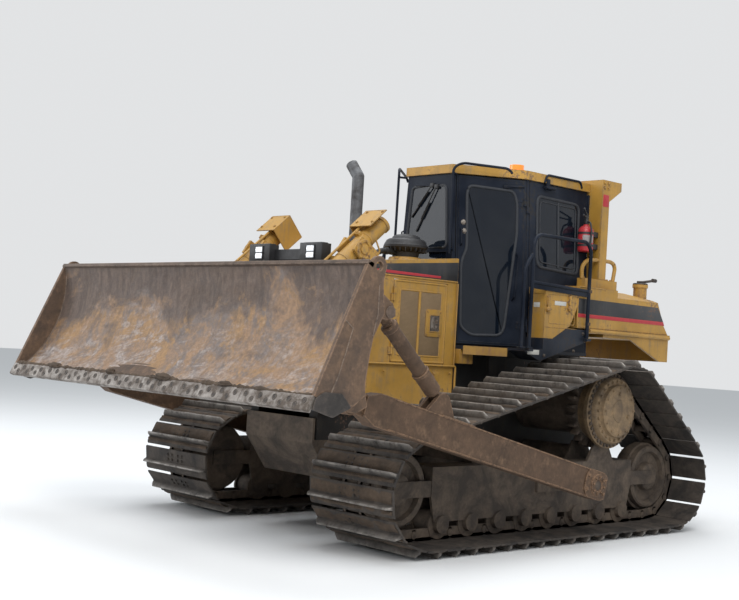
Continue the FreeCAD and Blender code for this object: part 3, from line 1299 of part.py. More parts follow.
def build_lamps():
    """Two work lamps and the bar between them, on the front of the radiator guard."""
    seat_y = S.nose_y
    lamps = [box((x, x + S.lamp_width), (seat_y - S.lamp_depth, seat_y),
                 (S.lamp_low_z, S.lamp_low_z + S.lamp_height))
             for x in (S.lamp_left_x, S.lamp_right_x)]
    bar = box((S.lamp_right_x + S.lamp_width, S.lamp_left_x), (seat_y - S.lamp_bar_depth, seat_y),
              (S.lamp_bar_low_z, S.lamp_bar_low_z + S.lamp_bar_height))
    node("work_lamps", fuse(lamps + [bar]))


for build in (build_tracks, build_roller_frames, build_wheels, build_main_frame, build_front, build_cab,
              build_rear, build_lift, build_blade, build_arms, build_braces, build_lamps):
    build()
DOC.recompute()

faults = [item.Label for item in DOC.Objects if {"Invalid", "Error"} & set(item.State)]
faults += [piece.Label for piece in NODES if piece.Shape.isNull() or not piece.Shape.isValid()]
if faults:
    raise RuntimeError("failed pieces: " + ", ".join(faults))
os.makedirs("parts", exist_ok=True)
for piece in NODES:
    piece.Shape.exportStep("parts/%s.step" % piece.Label)
    print("%-22s solids %2d  volume %9.1f" % (piece.Label, len(piece.Shape.Solids),
                                              piece.Shape.Volume / 1e6))
whole = Part.makeCompound([piece.Shape for piece in NODES]).BoundBox
print(len(NODES), "nodes;", whole)
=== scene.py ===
"""A tracked bulldozer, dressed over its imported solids: shapes, worn finishes, light and camera."""
import math
from collections import namedtuple

import bmesh
import bpy
import numpy as np
from mathutils import Matrix, Vector


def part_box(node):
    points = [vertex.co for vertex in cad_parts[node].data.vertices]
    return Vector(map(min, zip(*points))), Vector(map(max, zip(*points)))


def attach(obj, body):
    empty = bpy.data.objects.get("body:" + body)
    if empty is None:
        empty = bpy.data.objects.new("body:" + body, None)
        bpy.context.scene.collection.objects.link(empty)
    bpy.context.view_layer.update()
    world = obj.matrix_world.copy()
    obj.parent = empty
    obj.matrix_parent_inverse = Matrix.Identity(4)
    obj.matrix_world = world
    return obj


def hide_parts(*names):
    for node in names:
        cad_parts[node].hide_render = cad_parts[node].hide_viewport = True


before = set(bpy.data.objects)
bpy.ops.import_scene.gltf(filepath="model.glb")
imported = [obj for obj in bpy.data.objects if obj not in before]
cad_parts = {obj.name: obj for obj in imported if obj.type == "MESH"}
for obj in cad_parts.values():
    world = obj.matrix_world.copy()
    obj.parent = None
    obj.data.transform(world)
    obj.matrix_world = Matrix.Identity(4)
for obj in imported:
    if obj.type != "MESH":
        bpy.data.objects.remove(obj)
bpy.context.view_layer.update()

bl_info = {
    "name": "Tracked Bulldozer Dressing",
    "version": (1, 0, 0),
    "blender": (4, 5, 0),
    "location": "View3D > Sidebar > Bulldozer",
    "description": "Adds the visible shapes and worn finishes of a tracked bulldozer to its packed solids",
    "category": "Object",
}

PHOTO_WIDTH = 739
SENSOR_WIDTH = 36.0
SHARP_ANGLE = math.radians(38.0)
FINISHES = {}


# Shapes: points and groups of faces, worked out as whole arrays

Form = namedtuple("Form", "points faces wear")


def form_of(points, faces, wear=0.0):
    """A form from points (n, 3), face groups (m, corners) and a wear value for each point."""
    points = np.asarray(points, float).reshape(-1, 3)
    return Form(points, [np.asarray(group, int) for group in faces],
                np.broadcast_to(np.asarray(wear, float), len(points)).copy())


def unit(vectors):
    """Vectors divided by their lengths."""
    vectors = np.asarray(vectors, float)
    return vectors / np.linalg.norm(vectors, axis=-1, keepdims=True)


def surface(points, round_u=False, round_v=False):
    """Quads over a grid points[u, v]: each joins (u, v), (u+1, v), (u+1, v+1) and (u, v+1)."""
    rows, columns = points.shape[:2]
    index = np.arange(rows * columns).reshape(rows, columns)
    if round_u:
        index = np.vstack([index, index[:1]])
    if round_v:
        index = np.hstack([index, index[:, :1]])
    quads = np.stack([index[:-1, :-1], index[1:, :-1], index[1:, 1:], index[:-1, 1:]], -1)
    return form_of(points, [quads.reshape(-1, 4)])


def stacked(rings, wear=0.0):
    """A closed skin through rings[level, point], with its first and last ring filled."""
    levels, corners = rings.shape[:2]
    skin = surface(rings, round_v=True)
    low = np.arange(corners)[::-1]
    high = low[::-1] + (levels - 1) * corners
    return form_of(skin.points, skin.faces + [low[None], high[None]], wear)


def inset(outline, amount):
    """A closed outline moved inwards: each corner slides along its miter, amount from both its sides."""
    before = unit(outline - np.roll(outline, 1, 0))
    after = unit(np.roll(outline, -1, 0) - outline)
    inward = [np.stack([-side[:, 1], side[:, 0]], -1) for side in (before, after)]
    share = 1 + (inward[0] * inward[1]).sum(-1, keepdims=True)
    return outline + (inward[0] + inward[1]) / share * amount


PLANES = {"yz": (1, 2, 0), "xz": (0, 2, 1), "xy": (0, 1, 2)}


def prism(outline, low, high, plane="yz", edge=0.003):
    """An outline carried from low to high across its plane, with quarter-round edges.

    Near each end the outline is inset by edge * (1 - sin a) at edge * (1 - cos a) from that end.
    """
    outline = np.asarray(outline, float)
    nxt = np.roll(outline, -1, 0)
    if (outline[:, 0] * nxt[:, 1] - outline[:, 1] * nxt[:, 0]).sum() < 0:
        outline = outline[::-1]
    turn = np.radians([0, 45, 90])
    levels = np.concatenate([low + edge * (1 - np.cos(turn)), high - edge * (1 - np.cos(turn[::-1]))])
    insets = edge * (1 - np.sin(np.concatenate([turn, turn[::-1]])))
    rings = np.empty((len(levels), len(outline), 3))
    u, v, w = PLANES[plane]
    for ring, level, amount in zip(rings, levels, insets):
        moved_in = inset(outline, amount)
        ring[:, u], ring[:, v], ring[:, w] = moved_in[:, 0], moved_in[:, 1], level
    return stacked(rings)


def block(low, high, edge=0.004):
    """A box between two corners with rounded long edges, as a prism along Z."""
    (x0, y0, z0), (x1, y1, z1) = low, high
    return prism(rounded(rectangle((x0, y0), (x1, y1)), edge, 3), z0, z1, "xy", edge)


def rectangle(low, high):
    """The four corners of a rectangle, anticlockwise from its low one."""
    return [low, (high[0], low[1]), high, (low[0], high[1])]


def rounded(corners, radius, steps=5):
    """A closed outline with each corner replaced by a parabola that starts radius before it."""
    corners = np.asarray(corners, float)
    back = unit(np.roll(corners, 1, 0) - corners) * radius
    ahead = unit(np.roll(corners, -1, 0) - corners) * radius
    t = np.linspace(0, 1, steps)[None, :, None]
    arcs = corners[:, None] + back[:, None] * (1 - t) ** 2 + ahead[:, None] * t ** 2
    return arcs.reshape(-1, corners.shape[1])


def bent(corners, radius, steps=7):
    """An open path with each inner corner replaced by a parabola that starts radius before it."""
    corners = np.asarray(corners, float)
    inner = corners[1:-1]
    back = unit(corners[:-2] - inner) * radius
    ahead = unit(corners[2:] - inner) * radius
    t = np.linspace(0, 1, steps)[None, :, None]
    arcs = inner[:, None] + back[:, None] * (1 - t) ** 2 + ahead[:, None] * t ** 2
    return np.vstack([corners[:1], arcs.reshape(-1, 3), corners[-1:]])


def swept(path, section, flat=(1, 0, 0), closed=False, grow=1.0):
    """A closed section (n, 2) carried along a path, square to it, its first axis kept along flat."""
    path = np.asarray(path, float)
    section = np.asarray(section, float)
    if closed:
        along = unit(np.roll(path, -1, 0) - np.roll(path, 1, 0))
    else:
        along = unit(np.gradient(path, axis=0))
    flat = np.broadcast_to(np.asarray(flat, float), path.shape)
    second = unit(np.cross(along, flat))
    first = np.cross(second, along)
    grow = np.broadcast_to(np.asarray(grow, float), len(path))[:, None, None]
    rings = path[:, None] + grow * (first[:, None] * section[None, :, :1]
                                    + second[:, None] * section[None, :, 1:])
    if closed:
        return surface(rings, round_u=True, round_v=True)
    return stacked(rings)


def circle(radius, sides=16, start=0.0):
    """Points (radius cos a, radius sin a) at even angles."""
    turn = np.linspace(0, 2 * math.pi, sides, endpoint=False) + start
    return np.stack([np.cos(turn), np.sin(turn)], -1) * radius


def tube(path, radius, flat=(1, 0, 0), sides=14):
    """A round bar along a path."""
    return swept(path, circle(radius, sides), flat)


AXES = {"x": (1, 2, 0), "y": (2, 0, 1), "z": (0, 1, 2)}


def lathe(stations, at, axis, sides):
    """Rings[station, point]: at each station (along, radius) a circle round the axis through at."""
    stations = np.asarray(stations, float)
    u, v, w = AXES[axis]
    rings = np.empty((len(stations), sides, 3))
    spokes = circle(1.0, sides)
    rings[..., u] = at[u] + stations[:, 1:] * spokes[:, 0]
    rings[..., v] = at[v] + stations[:, 1:] * spokes[:, 1]
    rings[..., w] = at[w] + stations[:, :1]
    return rings


def turned(stations, at, axis="x", sides=40):
    """A lathe shape with its two ends filled."""
    return stacked(lathe(stations, at, axis, sides))


def pipe_ring(stations, at, axis="x", sides=40):
    """A lathe shape whose stations close on themselves, such as a rim or a washer."""
    return surface(lathe(stations, at, axis, sides), round_u=True, round_v=True)


def joined(*forms):
    """Several forms as one, their faces renumbered."""
    flat = []
    for item in forms:
        flat.extend(item if isinstance(item, (list, tuple)) and not isinstance(item, Form) else [item])
    starts = np.cumsum([0] + [len(item.points) for item in flat[:-1]])
    faces = [group + start for item, start in zip(flat, starts) for group in item.faces]
    return Form(np.vstack([item.points for item in flat]), faces,
                np.concatenate([item.wear for item in flat]))


def moved(form, by):
    return Form(form.points + np.asarray(by, float), form.faces, form.wear)


def changed(form, matrix, by=(0, 0, 0)):
    """A form whose points are multiplied by a 3x3 matrix and then moved."""
    return Form(form.points @ np.asarray(matrix, float).T + np.asarray(by, float), form.faces, form.wear)


def mirrored(form):
    """A form reflected in x = 0, its faces turned round so that they still point outwards."""
    return Form(form.points * (-1, 1, 1), [group[:, ::-1] for group in form.faces], form.wear)


def as_it_is(form):
    return form


SIDES = (("left", as_it_is), ("right", mirrored))


def both(*forms):
    """Forms and their reflections, as one."""
    whole = joined(*forms)
    return joined(whole, mirrored(whole))


def copies(form, places, turns=None):
    """A form repeated at places (n, 3), each copy first multiplied by its 3x3 turn."""
    places = np.asarray(places, float).reshape(-1, 3)
    if turns is None:
        points = form.points[None] + places[:, None]
    else:
        points = np.einsum("nij,pj->npi", np.asarray(turns, float), form.points) + places[:, None]
    starts = np.arange(len(places)) * len(form.points)
    faces = [(group[None] + starts[:, None, None]).reshape(-1, group.shape[1]) for group in form.faces]
    return Form(points.reshape(-1, 3), faces, np.tile(form.wear, len(places)))


FACING = {
    "x": ((0, 0, 1), (1, 0, 0), (0, 1, 0)),
    "-x": ((0, 0, -1), (-1, 0, 0), (0, 1, 0)),
    "y": ((1, 0, 0), (0, 0, 1), (0, -1, 0)),
    "-y": ((1, 0, 0), (0, 0, -1), (0, 1, 0)),
    "z": ((1, 0, 0), (0, 1, 0), (0, 0, 1)),
    "-z": ((1, 0, 0), (0, -1, 0), (0, 0, -1)),
}


def bolts(places, radius=0.014, facing="x", height=None, sides=6):
    """Hexagon heads on washers, their feet at places, pointing one way."""
    height = height or radius * 1.1
    stations = [(-0.002, radius * 1.5), (0.002, radius * 1.5), (0.002, radius), (height * 0.8, radius),
                (height, radius * 0.75)]
    head = turned(stations, (0, 0, 0), "z", sides)
    return copies(changed(head, FACING[facing]), places)


def spokes_at(centre, radius, count, axis="x", start=0.0):
    """Places at even angles on a circle round a centre, square to an axis."""
    u, v, w = AXES[axis]
    places = np.empty((count, 3))
    places[:, w] = centre[w]
    places[:, [u, v]] = np.asarray(centre, float)[[u, v]] + circle(radius, count, start)
    return places


def bead(path, radius):
    """A weld bead: a tube along a path whose radius ripples with the distance run."""
    path = np.asarray(path, float)
    run = np.linalg.norm(np.diff(path, axis=0), axis=-1)
    total = run.sum()
    along = np.linspace(0, total, max(int(total / (radius * 1.1)), 8))
    steps = np.concatenate([[0], np.cumsum(run)])
    points = np.stack([np.interp(along, steps, path[:, k]) for k in range(3)], -1)
    grow = 1 + 0.16 * np.sin(along / radius * 2.2)
    return swept(points, circle(radius, 7), grow=grow)


def waves(points, seed, length=0.3, count=7):
    """A smooth field: the mean of count sines with seeded directions and phases, about one length long."""
    draw = np.random.default_rng(seed)
    directions = unit(draw.normal(size=(count, 3))) * (2 * math.pi / length)
    directions = directions * draw.uniform(0.6, 1.7, (count, 1))
    phases = draw.uniform(0, 2 * math.pi, count)
    return np.sin(points @ directions.T + phases).mean(-1) * 1.6


def clod(at, size, seed, sides=14):
    """A lump of soil: a ball whose radius is changed by seeded waves, flattened by size (x, y, z)."""
    polar = np.linspace(0.12, math.pi - 0.12, sides)
    rings = np.empty((sides, 2 * sides, 3))
    rings[..., :2] = np.sin(polar)[:, None, None] * circle(1.0, 2 * sides)[None]
    rings[..., 2] = np.cos(polar)[::-1, None]
    form = stacked(rings)
    bumps = 1 + 0.30 * waves(form.points, seed, 1.3) + 0.12 * waves(form.points, seed + 1, 0.45)
    return Form(form.points * bumps[:, None] * size + np.asarray(at, float), form.faces, form.wear)


def piece(name, form, look, body="chassis", replaces=()):
    """A finished object from a form: closed faces pointing outwards, on its CAD body."""
    mesh = bpy.data.meshes.new(name)
    mesh.vertices.add(len(form.points))
    mesh.vertices.foreach_set("co", form.points.astype(np.float32).ravel())
    corners = np.concatenate([group.ravel() for group in form.faces])
    sizes = np.concatenate([np.full(len(group), group.shape[1]) for group in form.faces])
    mesh.loops.add(len(corners))
    mesh.loops.foreach_set("vertex_index", corners.astype(np.int32))
    mesh.polygons.add(len(sizes))
    mesh.polygons.foreach_set("loop_start", np.concatenate([[0], np.cumsum(sizes)[:-1]]).astype(np.int32))
    mesh.update(calc_edges=True)
    mesh.attributes.new("wear", "FLOAT", "POINT").data.foreach_set("value", form.wear.astype(np.float32))
    work = bmesh.new()
    work.from_mesh(mesh)
    bmesh.ops.recalc_face_normals(work, faces=work.faces)
    work.to_mesh(mesh)
    work.free()
    mesh.shade_smooth()
    mesh.set_sharp_from_angle(angle=SHARP_ANGLE)
    mesh.materials.append(FINISHES[look])
    made = bpy.data.objects.new(name, mesh)
    bpy.context.scene.collection.objects.link(made)
    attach(made, body)
    if replaces:
        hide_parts(*replaces)


# Finishes: node materials that read the piece's own Object coordinates

def dimmed(colour, share):
    """A colour whose values are all multiplied by a share."""
    return tuple(item * share for item in colour)


class Finish:
    """One material being built: each method adds a node and gives its output."""

    def __init__(self, name):
        self.material = bpy.data.materials.new(name)
        self.material.use_nodes = True
        self.tree = self.material.node_tree
        self.shader = self.tree.nodes["Principled BSDF"]
        coordinates = self.tree.nodes.new("ShaderNodeTexCoord")
        self.place = coordinates.outputs["Object"]
        self.facing = coordinates.outputs["Normal"]

    def join(self, value, socket):
        """Link an output to a socket, or write a constant into it."""
        if isinstance(value, bpy.types.NodeSocket):
            self.tree.links.new(value, socket)
        elif isinstance(value, (tuple, list)) and len(value) == 3 and len(socket.default_value) == 4:
            socket.default_value = (*value, 1.0)
        else:
            socket.default_value = value

    def node(self, kind, settings=(), **sockets):
        made = self.tree.nodes.new(kind)
        for key, value in dict(settings).items():
            setattr(made, key, value)
        for key, value in sockets.items():
            self.join(value, made.inputs[key.replace("_", " ")])
        return made

    def mapped(self, scale=(1, 1, 1), turn=(0, 0, 0)):
        """The coordinates turned by degrees and then stretched."""
        turned_first = self.node("ShaderNodeMapping", Vector=self.place,
                                 Rotation=tuple(math.radians(item) for item in turn))
        made = self.node("ShaderNodeMapping", Vector=turned_first.outputs[0], Scale=scale)
        return made.outputs[0]

    def noise(self, scale, detail=5.0, rough=0.6, vector=None, warp=0.0):
        made = self.node("ShaderNodeTexNoise", Vector=vector or self.place, Scale=scale, Detail=detail,
                         Roughness=rough, Distortion=warp)
        return made.outputs["Fac"]

    def cells(self, scale):
        made = self.node("ShaderNodeTexVoronoi", Vector=self.place, Scale=scale)
        return made.outputs["Distance"]

    def levels(self, value, low, high, start=0.0, end=1.0):
        """A value stretched so that low becomes start and high becomes end, and held between them."""
        return self.node("ShaderNodeMapRange", Value=value, From_Min=low, From_Max=high,
                         To_Min=start, To_Max=end).outputs[0]

    def maths(self, how, first, second=0.0):
        made = self.node("ShaderNodeMath", {"operation": how})
        self.join(first, made.inputs[0])
        self.join(second, made.inputs[1])
        return made.outputs[0]

    def mix(self, share, first, second):
        """The first colour where the share is 0, and the second where it is 1."""
        made = self.node("ShaderNodeMix", {"data_type": "RGBA"})
        for value, number in ((share, 0), (first, 6), (second, 7)):
            self.join(value, made.inputs[number])
        return made.outputs[2]

    def part(self, vector, axis):
        made = self.node("ShaderNodeSeparateXYZ", Vector=vector)
        return made.outputs["XYZ".index(axis)]

    def wear(self):
        made = self.node("ShaderNodeAttribute", {"attribute_name": "wear"})
        return made.outputs["Fac"]

    def rims(self, reach=0.012):
        """Near 1 at outer edges: how far a bevelled normal turns from the true one."""
        soft = self.node("ShaderNodeBevel", {"samples": 3}, Radius=reach)
        true = self.node("ShaderNodeNewGeometry")
        dot = self.node("ShaderNodeVectorMath", {"operation": "DOT_PRODUCT"})
        self.join(soft.outputs[0], dot.inputs[0])
        self.join(true.outputs["Normal"], dot.inputs[1])
        return self.levels(dot.outputs["Value"], 0.97, 0.80)

    def done(self, colour, rough, metal=0.0, bump=None, strength=0.4, depth=0.002, **sockets):
        """Set the shader's sockets, with a bump from a height, and give the material."""
        self.join(colour, self.shader.inputs["Base Color"])
        self.join(rough, self.shader.inputs["Roughness"])
        self.join(metal, self.shader.inputs["Metallic"])
        for key, value in sockets.items():
            self.join(value, self.shader.inputs[key.replace("_", " ")])
        if bump is not None:
            made = self.node("ShaderNodeBump", Height=bump, Strength=strength, Distance=depth)
            self.join(made.outputs[0], self.shader.inputs["Normal"])
        return self.material


def faded_paint(name, colour, dirt=0.5, soil=(0.20, 0.155, 0.105), chips=(0.16, 0.10, 0.07), rough=0.48,
                fade=0.16, rims=True, gloss=0.5):
    """Old machine paint: mottled fading, runs of dirt down its sides, dust on its tops, chipped rims."""
    mat = Finish(name)
    cloudy = mat.noise(2.2, 6, 0.6)
    pale = tuple(min(item * (1 + fade) + 0.015, 1) for item in colour)
    deep = tuple(item * (1 - fade) for item in colour)
    body = mat.mix(mat.levels(cloudy, 0.35, 0.65), deep, pale)
    runs = mat.noise(1.0, 6, 0.62, mat.mapped((26, 26, 1.3)))
    spots = mat.noise(9.0, 8, 0.7)
    grime = mat.levels(mat.maths("MULTIPLY", runs, spots), 0.24, 0.40, 0.0, dirt)
    up = mat.levels(mat.part(mat.facing, "Z"), 0.4, 0.95, 0.0, 0.55 * dirt)
    grime = mat.maths("MAXIMUM", grime, mat.maths("MULTIPLY", up, mat.levels(spots, 0.3, 0.6)))
    body = mat.mix(grime, body, soil)
    fine = mat.noise(34.0, 4, 0.7)
    scars = mat.levels(mat.maths("MULTIPLY", fine, cloudy), 0.345, 0.37, 0.0, 0.75)
    if rims:
        edge = mat.maths("MULTIPLY", mat.rims(), mat.levels(fine, 0.42, 0.55))
        scars = mat.maths("MAXIMUM", scars, edge)
    body = mat.mix(scars, body, chips)
    shine = mat.levels(mat.maths("ADD", grime, scars), 0.0, 1.0, rough, 0.85)
    return mat.done(body, shine, 0.0, mat.maths("ADD", fine, mat.maths("MULTIPLY", grime, 2.0)), 0.18, 0.0015,
                    Specular_IOR_Level=gloss)


def scoured_steel(name, film, rust, bright):
    """A moldboard: dark film at its top, ochre and grey patches below, paler scraped metal at its foot."""
    mat = Finish(name)
    height = mat.part(mat.place, "Z")
    drift = mat.noise(1.5, 9, 0.70, None, 0.8)
    drip = mat.noise(1.0, 9, 0.78, mat.mapped((12, 3, 4.0), (24.5, 0, 0)), 0.5)
    scrape = mat.noise(1.0, 9, 0.80, mat.mapped((3.2, 3, 10), (24.5, 14, 0)), 0.7)
    patch = mat.noise(3.2, 9, 0.76, None, 1.0)
    grain = mat.noise(24, 9, 0.8)
    wander = mat.maths("ADD", height, mat.levels(drift, 0.3, 0.7, -0.50, 0.50))
    wander = mat.maths("ADD", wander, mat.levels(drip, 0.3, 0.7, -0.16, 0.16))
    body = mat.mix(mat.levels(patch, 0.42, 0.56), (0.19, 0.155, 0.14), (0.33, 0.205, 0.12))
    ochre = mat.noise(1.3, 9, 0.74, mat.mapped((1, 1, 1.3), (24.5, 0, 90)), 1.0)
    ochre = mat.maths("ADD", ochre, mat.levels(drip, 0.3, 0.7, -0.06, 0.06))
    body = mat.mix(mat.levels(ochre, 0.50, 0.56, 0.0, 0.85), body, rust)
    scraped = mat.maths("MULTIPLY", mat.levels(scrape, 0.48, 0.58), mat.levels(wander, 1.62, 1.22))
    body = mat.mix(mat.maths("MULTIPLY", scraped, mat.levels(grain, 0.35, 0.60, 0.3, 1.0)), body, bright)
    dark = mat.mix(mat.levels(drip, 0.40, 0.62), dimmed(film, 0.7), dimmed(film, 1.5))
    body = mat.mix(mat.levels(wander, 1.58, 1.84, 0.0, 0.93), body, dark)
    body = mat.mix(mat.levels(grain, 0.32, 0.62, 0.6, 0.0), body, dimmed(film, 0.6))
    shine = mat.levels(scrape, 0.3, 0.7, 0.60, 0.85)
    relief = mat.maths("ADD", grain, mat.maths("MULTIPLY", mat.maths("ADD", drip, scrape), 1.5))
    return mat.done(body, shine, 0.05, relief, 0.6, 0.005)


def worn_steel(name, bare, film, share=0.5, rough=0.42, scale=5.0, metal=0.35):
    """Steel rubbed bright, with a brown film left in patches and fine scratches."""
    mat = Finish(name)
    patch = mat.noise(scale, 8, 0.7, None, 0.4)
    grain = mat.noise(48, 6, 0.7)
    film_share = mat.levels(patch, share - 0.10, share + 0.10)
    body = mat.mix(film_share, bare, film)
    body = mat.mix(mat.levels(grain, 0.3, 0.7, 0.35, 0.0), body, dimmed(film, 0.45))
    shine = mat.levels(film_share, 0, 1, rough, 0.8)
    return mat.done(body, shine, metal, mat.maths("ADD", grain, patch), 0.35, 0.002)


def rusty_steel(name, rust, dark, pale, rough=0.75):
    """Bare plate with years of rust: dark scale, brown bloom, and rims lightened partly as rubbed metal and
    partly as a painted highlight.
    """
    mat = Finish(name)
    patch = mat.noise(3.4, 8, 0.72, None, 0.5)
    grain = mat.noise(30, 8, 0.75)
    body = mat.mix(mat.levels(patch, 0.36, 0.62), dark, rust)
    bloom = mat.levels(mat.noise(11, 6, 0.7), 0.52, 0.68, 0.0, 0.6)
    body = mat.mix(bloom, body, pale)
    body = mat.mix(mat.levels(grain, 0.28, 0.7, 0.5, 0.0), body, dimmed(dark, 0.4))
    # Rims lightened past the pale rust: partly rubbed metal, partly a painted highlight along the edges.
    edge = mat.maths("MULTIPLY", mat.rims(0.016), mat.levels(grain, 0.40, 0.52, 0.0, 0.7))
    body = mat.mix(edge, body, dimmed(pale, 1.5))
    return mat.done(body, rough, 0.1, mat.maths("ADD", grain, patch), 0.5, 0.003)


def muddy_steel(name, mud, dark, bright, rough=0.82):
    """Undercarriage steel: dried mud over dark iron, rubbed bright where the wear value is high."""
    mat = Finish(name)
    patch = mat.noise(4.5, 8, 0.7, None, 0.5)
    grain = mat.noise(38, 8, 0.75)
    body = mat.mix(mat.levels(patch, 0.40, 0.60), dark, mud)
    body = mat.mix(mat.levels(mat.cells(16), 0.1, 0.5, 0.35, 0.0), body, dimmed(mud, 0.55))
    body = mat.mix(mat.levels(grain, 0.3, 0.7, 0.4, 0.0), body, dimmed(dark, 0.4))
    rubbed = mat.maths("MULTIPLY", mat.wear(), mat.levels(mat.noise(13, 6, 0.7), 0.32, 0.55))
    body = mat.mix(rubbed, body, bright)
    shine = mat.levels(rubbed, 0, 1, rough, 0.40)
    return mat.done(body, shine, mat.levels(rubbed, 0, 1, 0.0, 0.5),
                    mat.maths("ADD", grain, mat.maths("MULTIPLY", patch, 2.0)), 0.55, 0.005)


def tinted_glass(name, colour):
    """Dark safety glass with a little dust in patches on the pane."""
    mat = Finish(name)
    dust = mat.levels(mat.noise(3, 6, 0.6), 0.45, 0.75, 0.0, 0.10)
    body = mat.mix(dust, colour, (0.10, 0.10, 0.10))
    return mat.done(body, 0.05, 0.0, Transmission_Weight=0.2, IOR=1.45, Specular_IOR_Level=0.35)


def plain_finish(name, colour, rough, metal=0.0, speck=0.25, scale=30.0, **sockets):
    """One colour, broken by grain, with a fine bump."""
    mat = Finish(name)
    grain = mat.noise(scale, 5, 0.65)
    body = mat.mix(mat.levels(grain, 0.3, 0.7, speck, 0.0), colour, dimmed(colour, 0.45))
    shine = mat.levels(grain, 0.3, 0.7, rough + 0.10, rough - 0.05)
    return mat.done(body, shine, metal, grain, 0.15, 0.001, **sockets)


def perforated_sheet(name, colour, hole=0.0052, step=0.0105):
    """A panel punched with round holes in a square grid, dusty in patches."""
    mat = Finish(name)
    cells = []
    for axis in "YZ":
        run = mat.maths("MULTIPLY", mat.part(mat.place, axis), 1 / step)
        off = mat.maths("ABSOLUTE", mat.maths("SUBTRACT", mat.maths("FRACT", run), 0.5))
        cells.append(mat.maths("POWER", off, 2))
    reach = mat.maths("SQRT", mat.maths("ADD", *cells))
    inside = mat.levels(reach, hole / step * 0.9, hole / step * 0.75)
    dust = mat.noise(5, 7, 0.7)
    body = mat.mix(mat.levels(dust, 0.35, 0.65), dimmed(colour, 0.7), colour)
    body = mat.mix(inside, body, dimmed(colour, 0.55))
    return mat.done(body, 0.7, 0.0, mat.maths("SUBTRACT", 1.0, inside), 0.6, 0.003)


def ribbed_cloth(name, colour, step=0.02):
    """Seat cloth: soft ribs across, with a fine weave."""
    mat = Finish(name)
    ribs = mat.maths("SINE", mat.maths("MULTIPLY", mat.part(mat.place, "X"), 2 * math.pi / step))
    weave = mat.noise(220, 3, 0.6)
    body = mat.mix(mat.levels(weave, 0.3, 0.7), dimmed(colour, 0.5), colour)
    return mat.done(body, 0.9, 0.0, mat.maths("ADD", ribs, weave), 0.4, 0.002, Sheen_Weight=0.3)


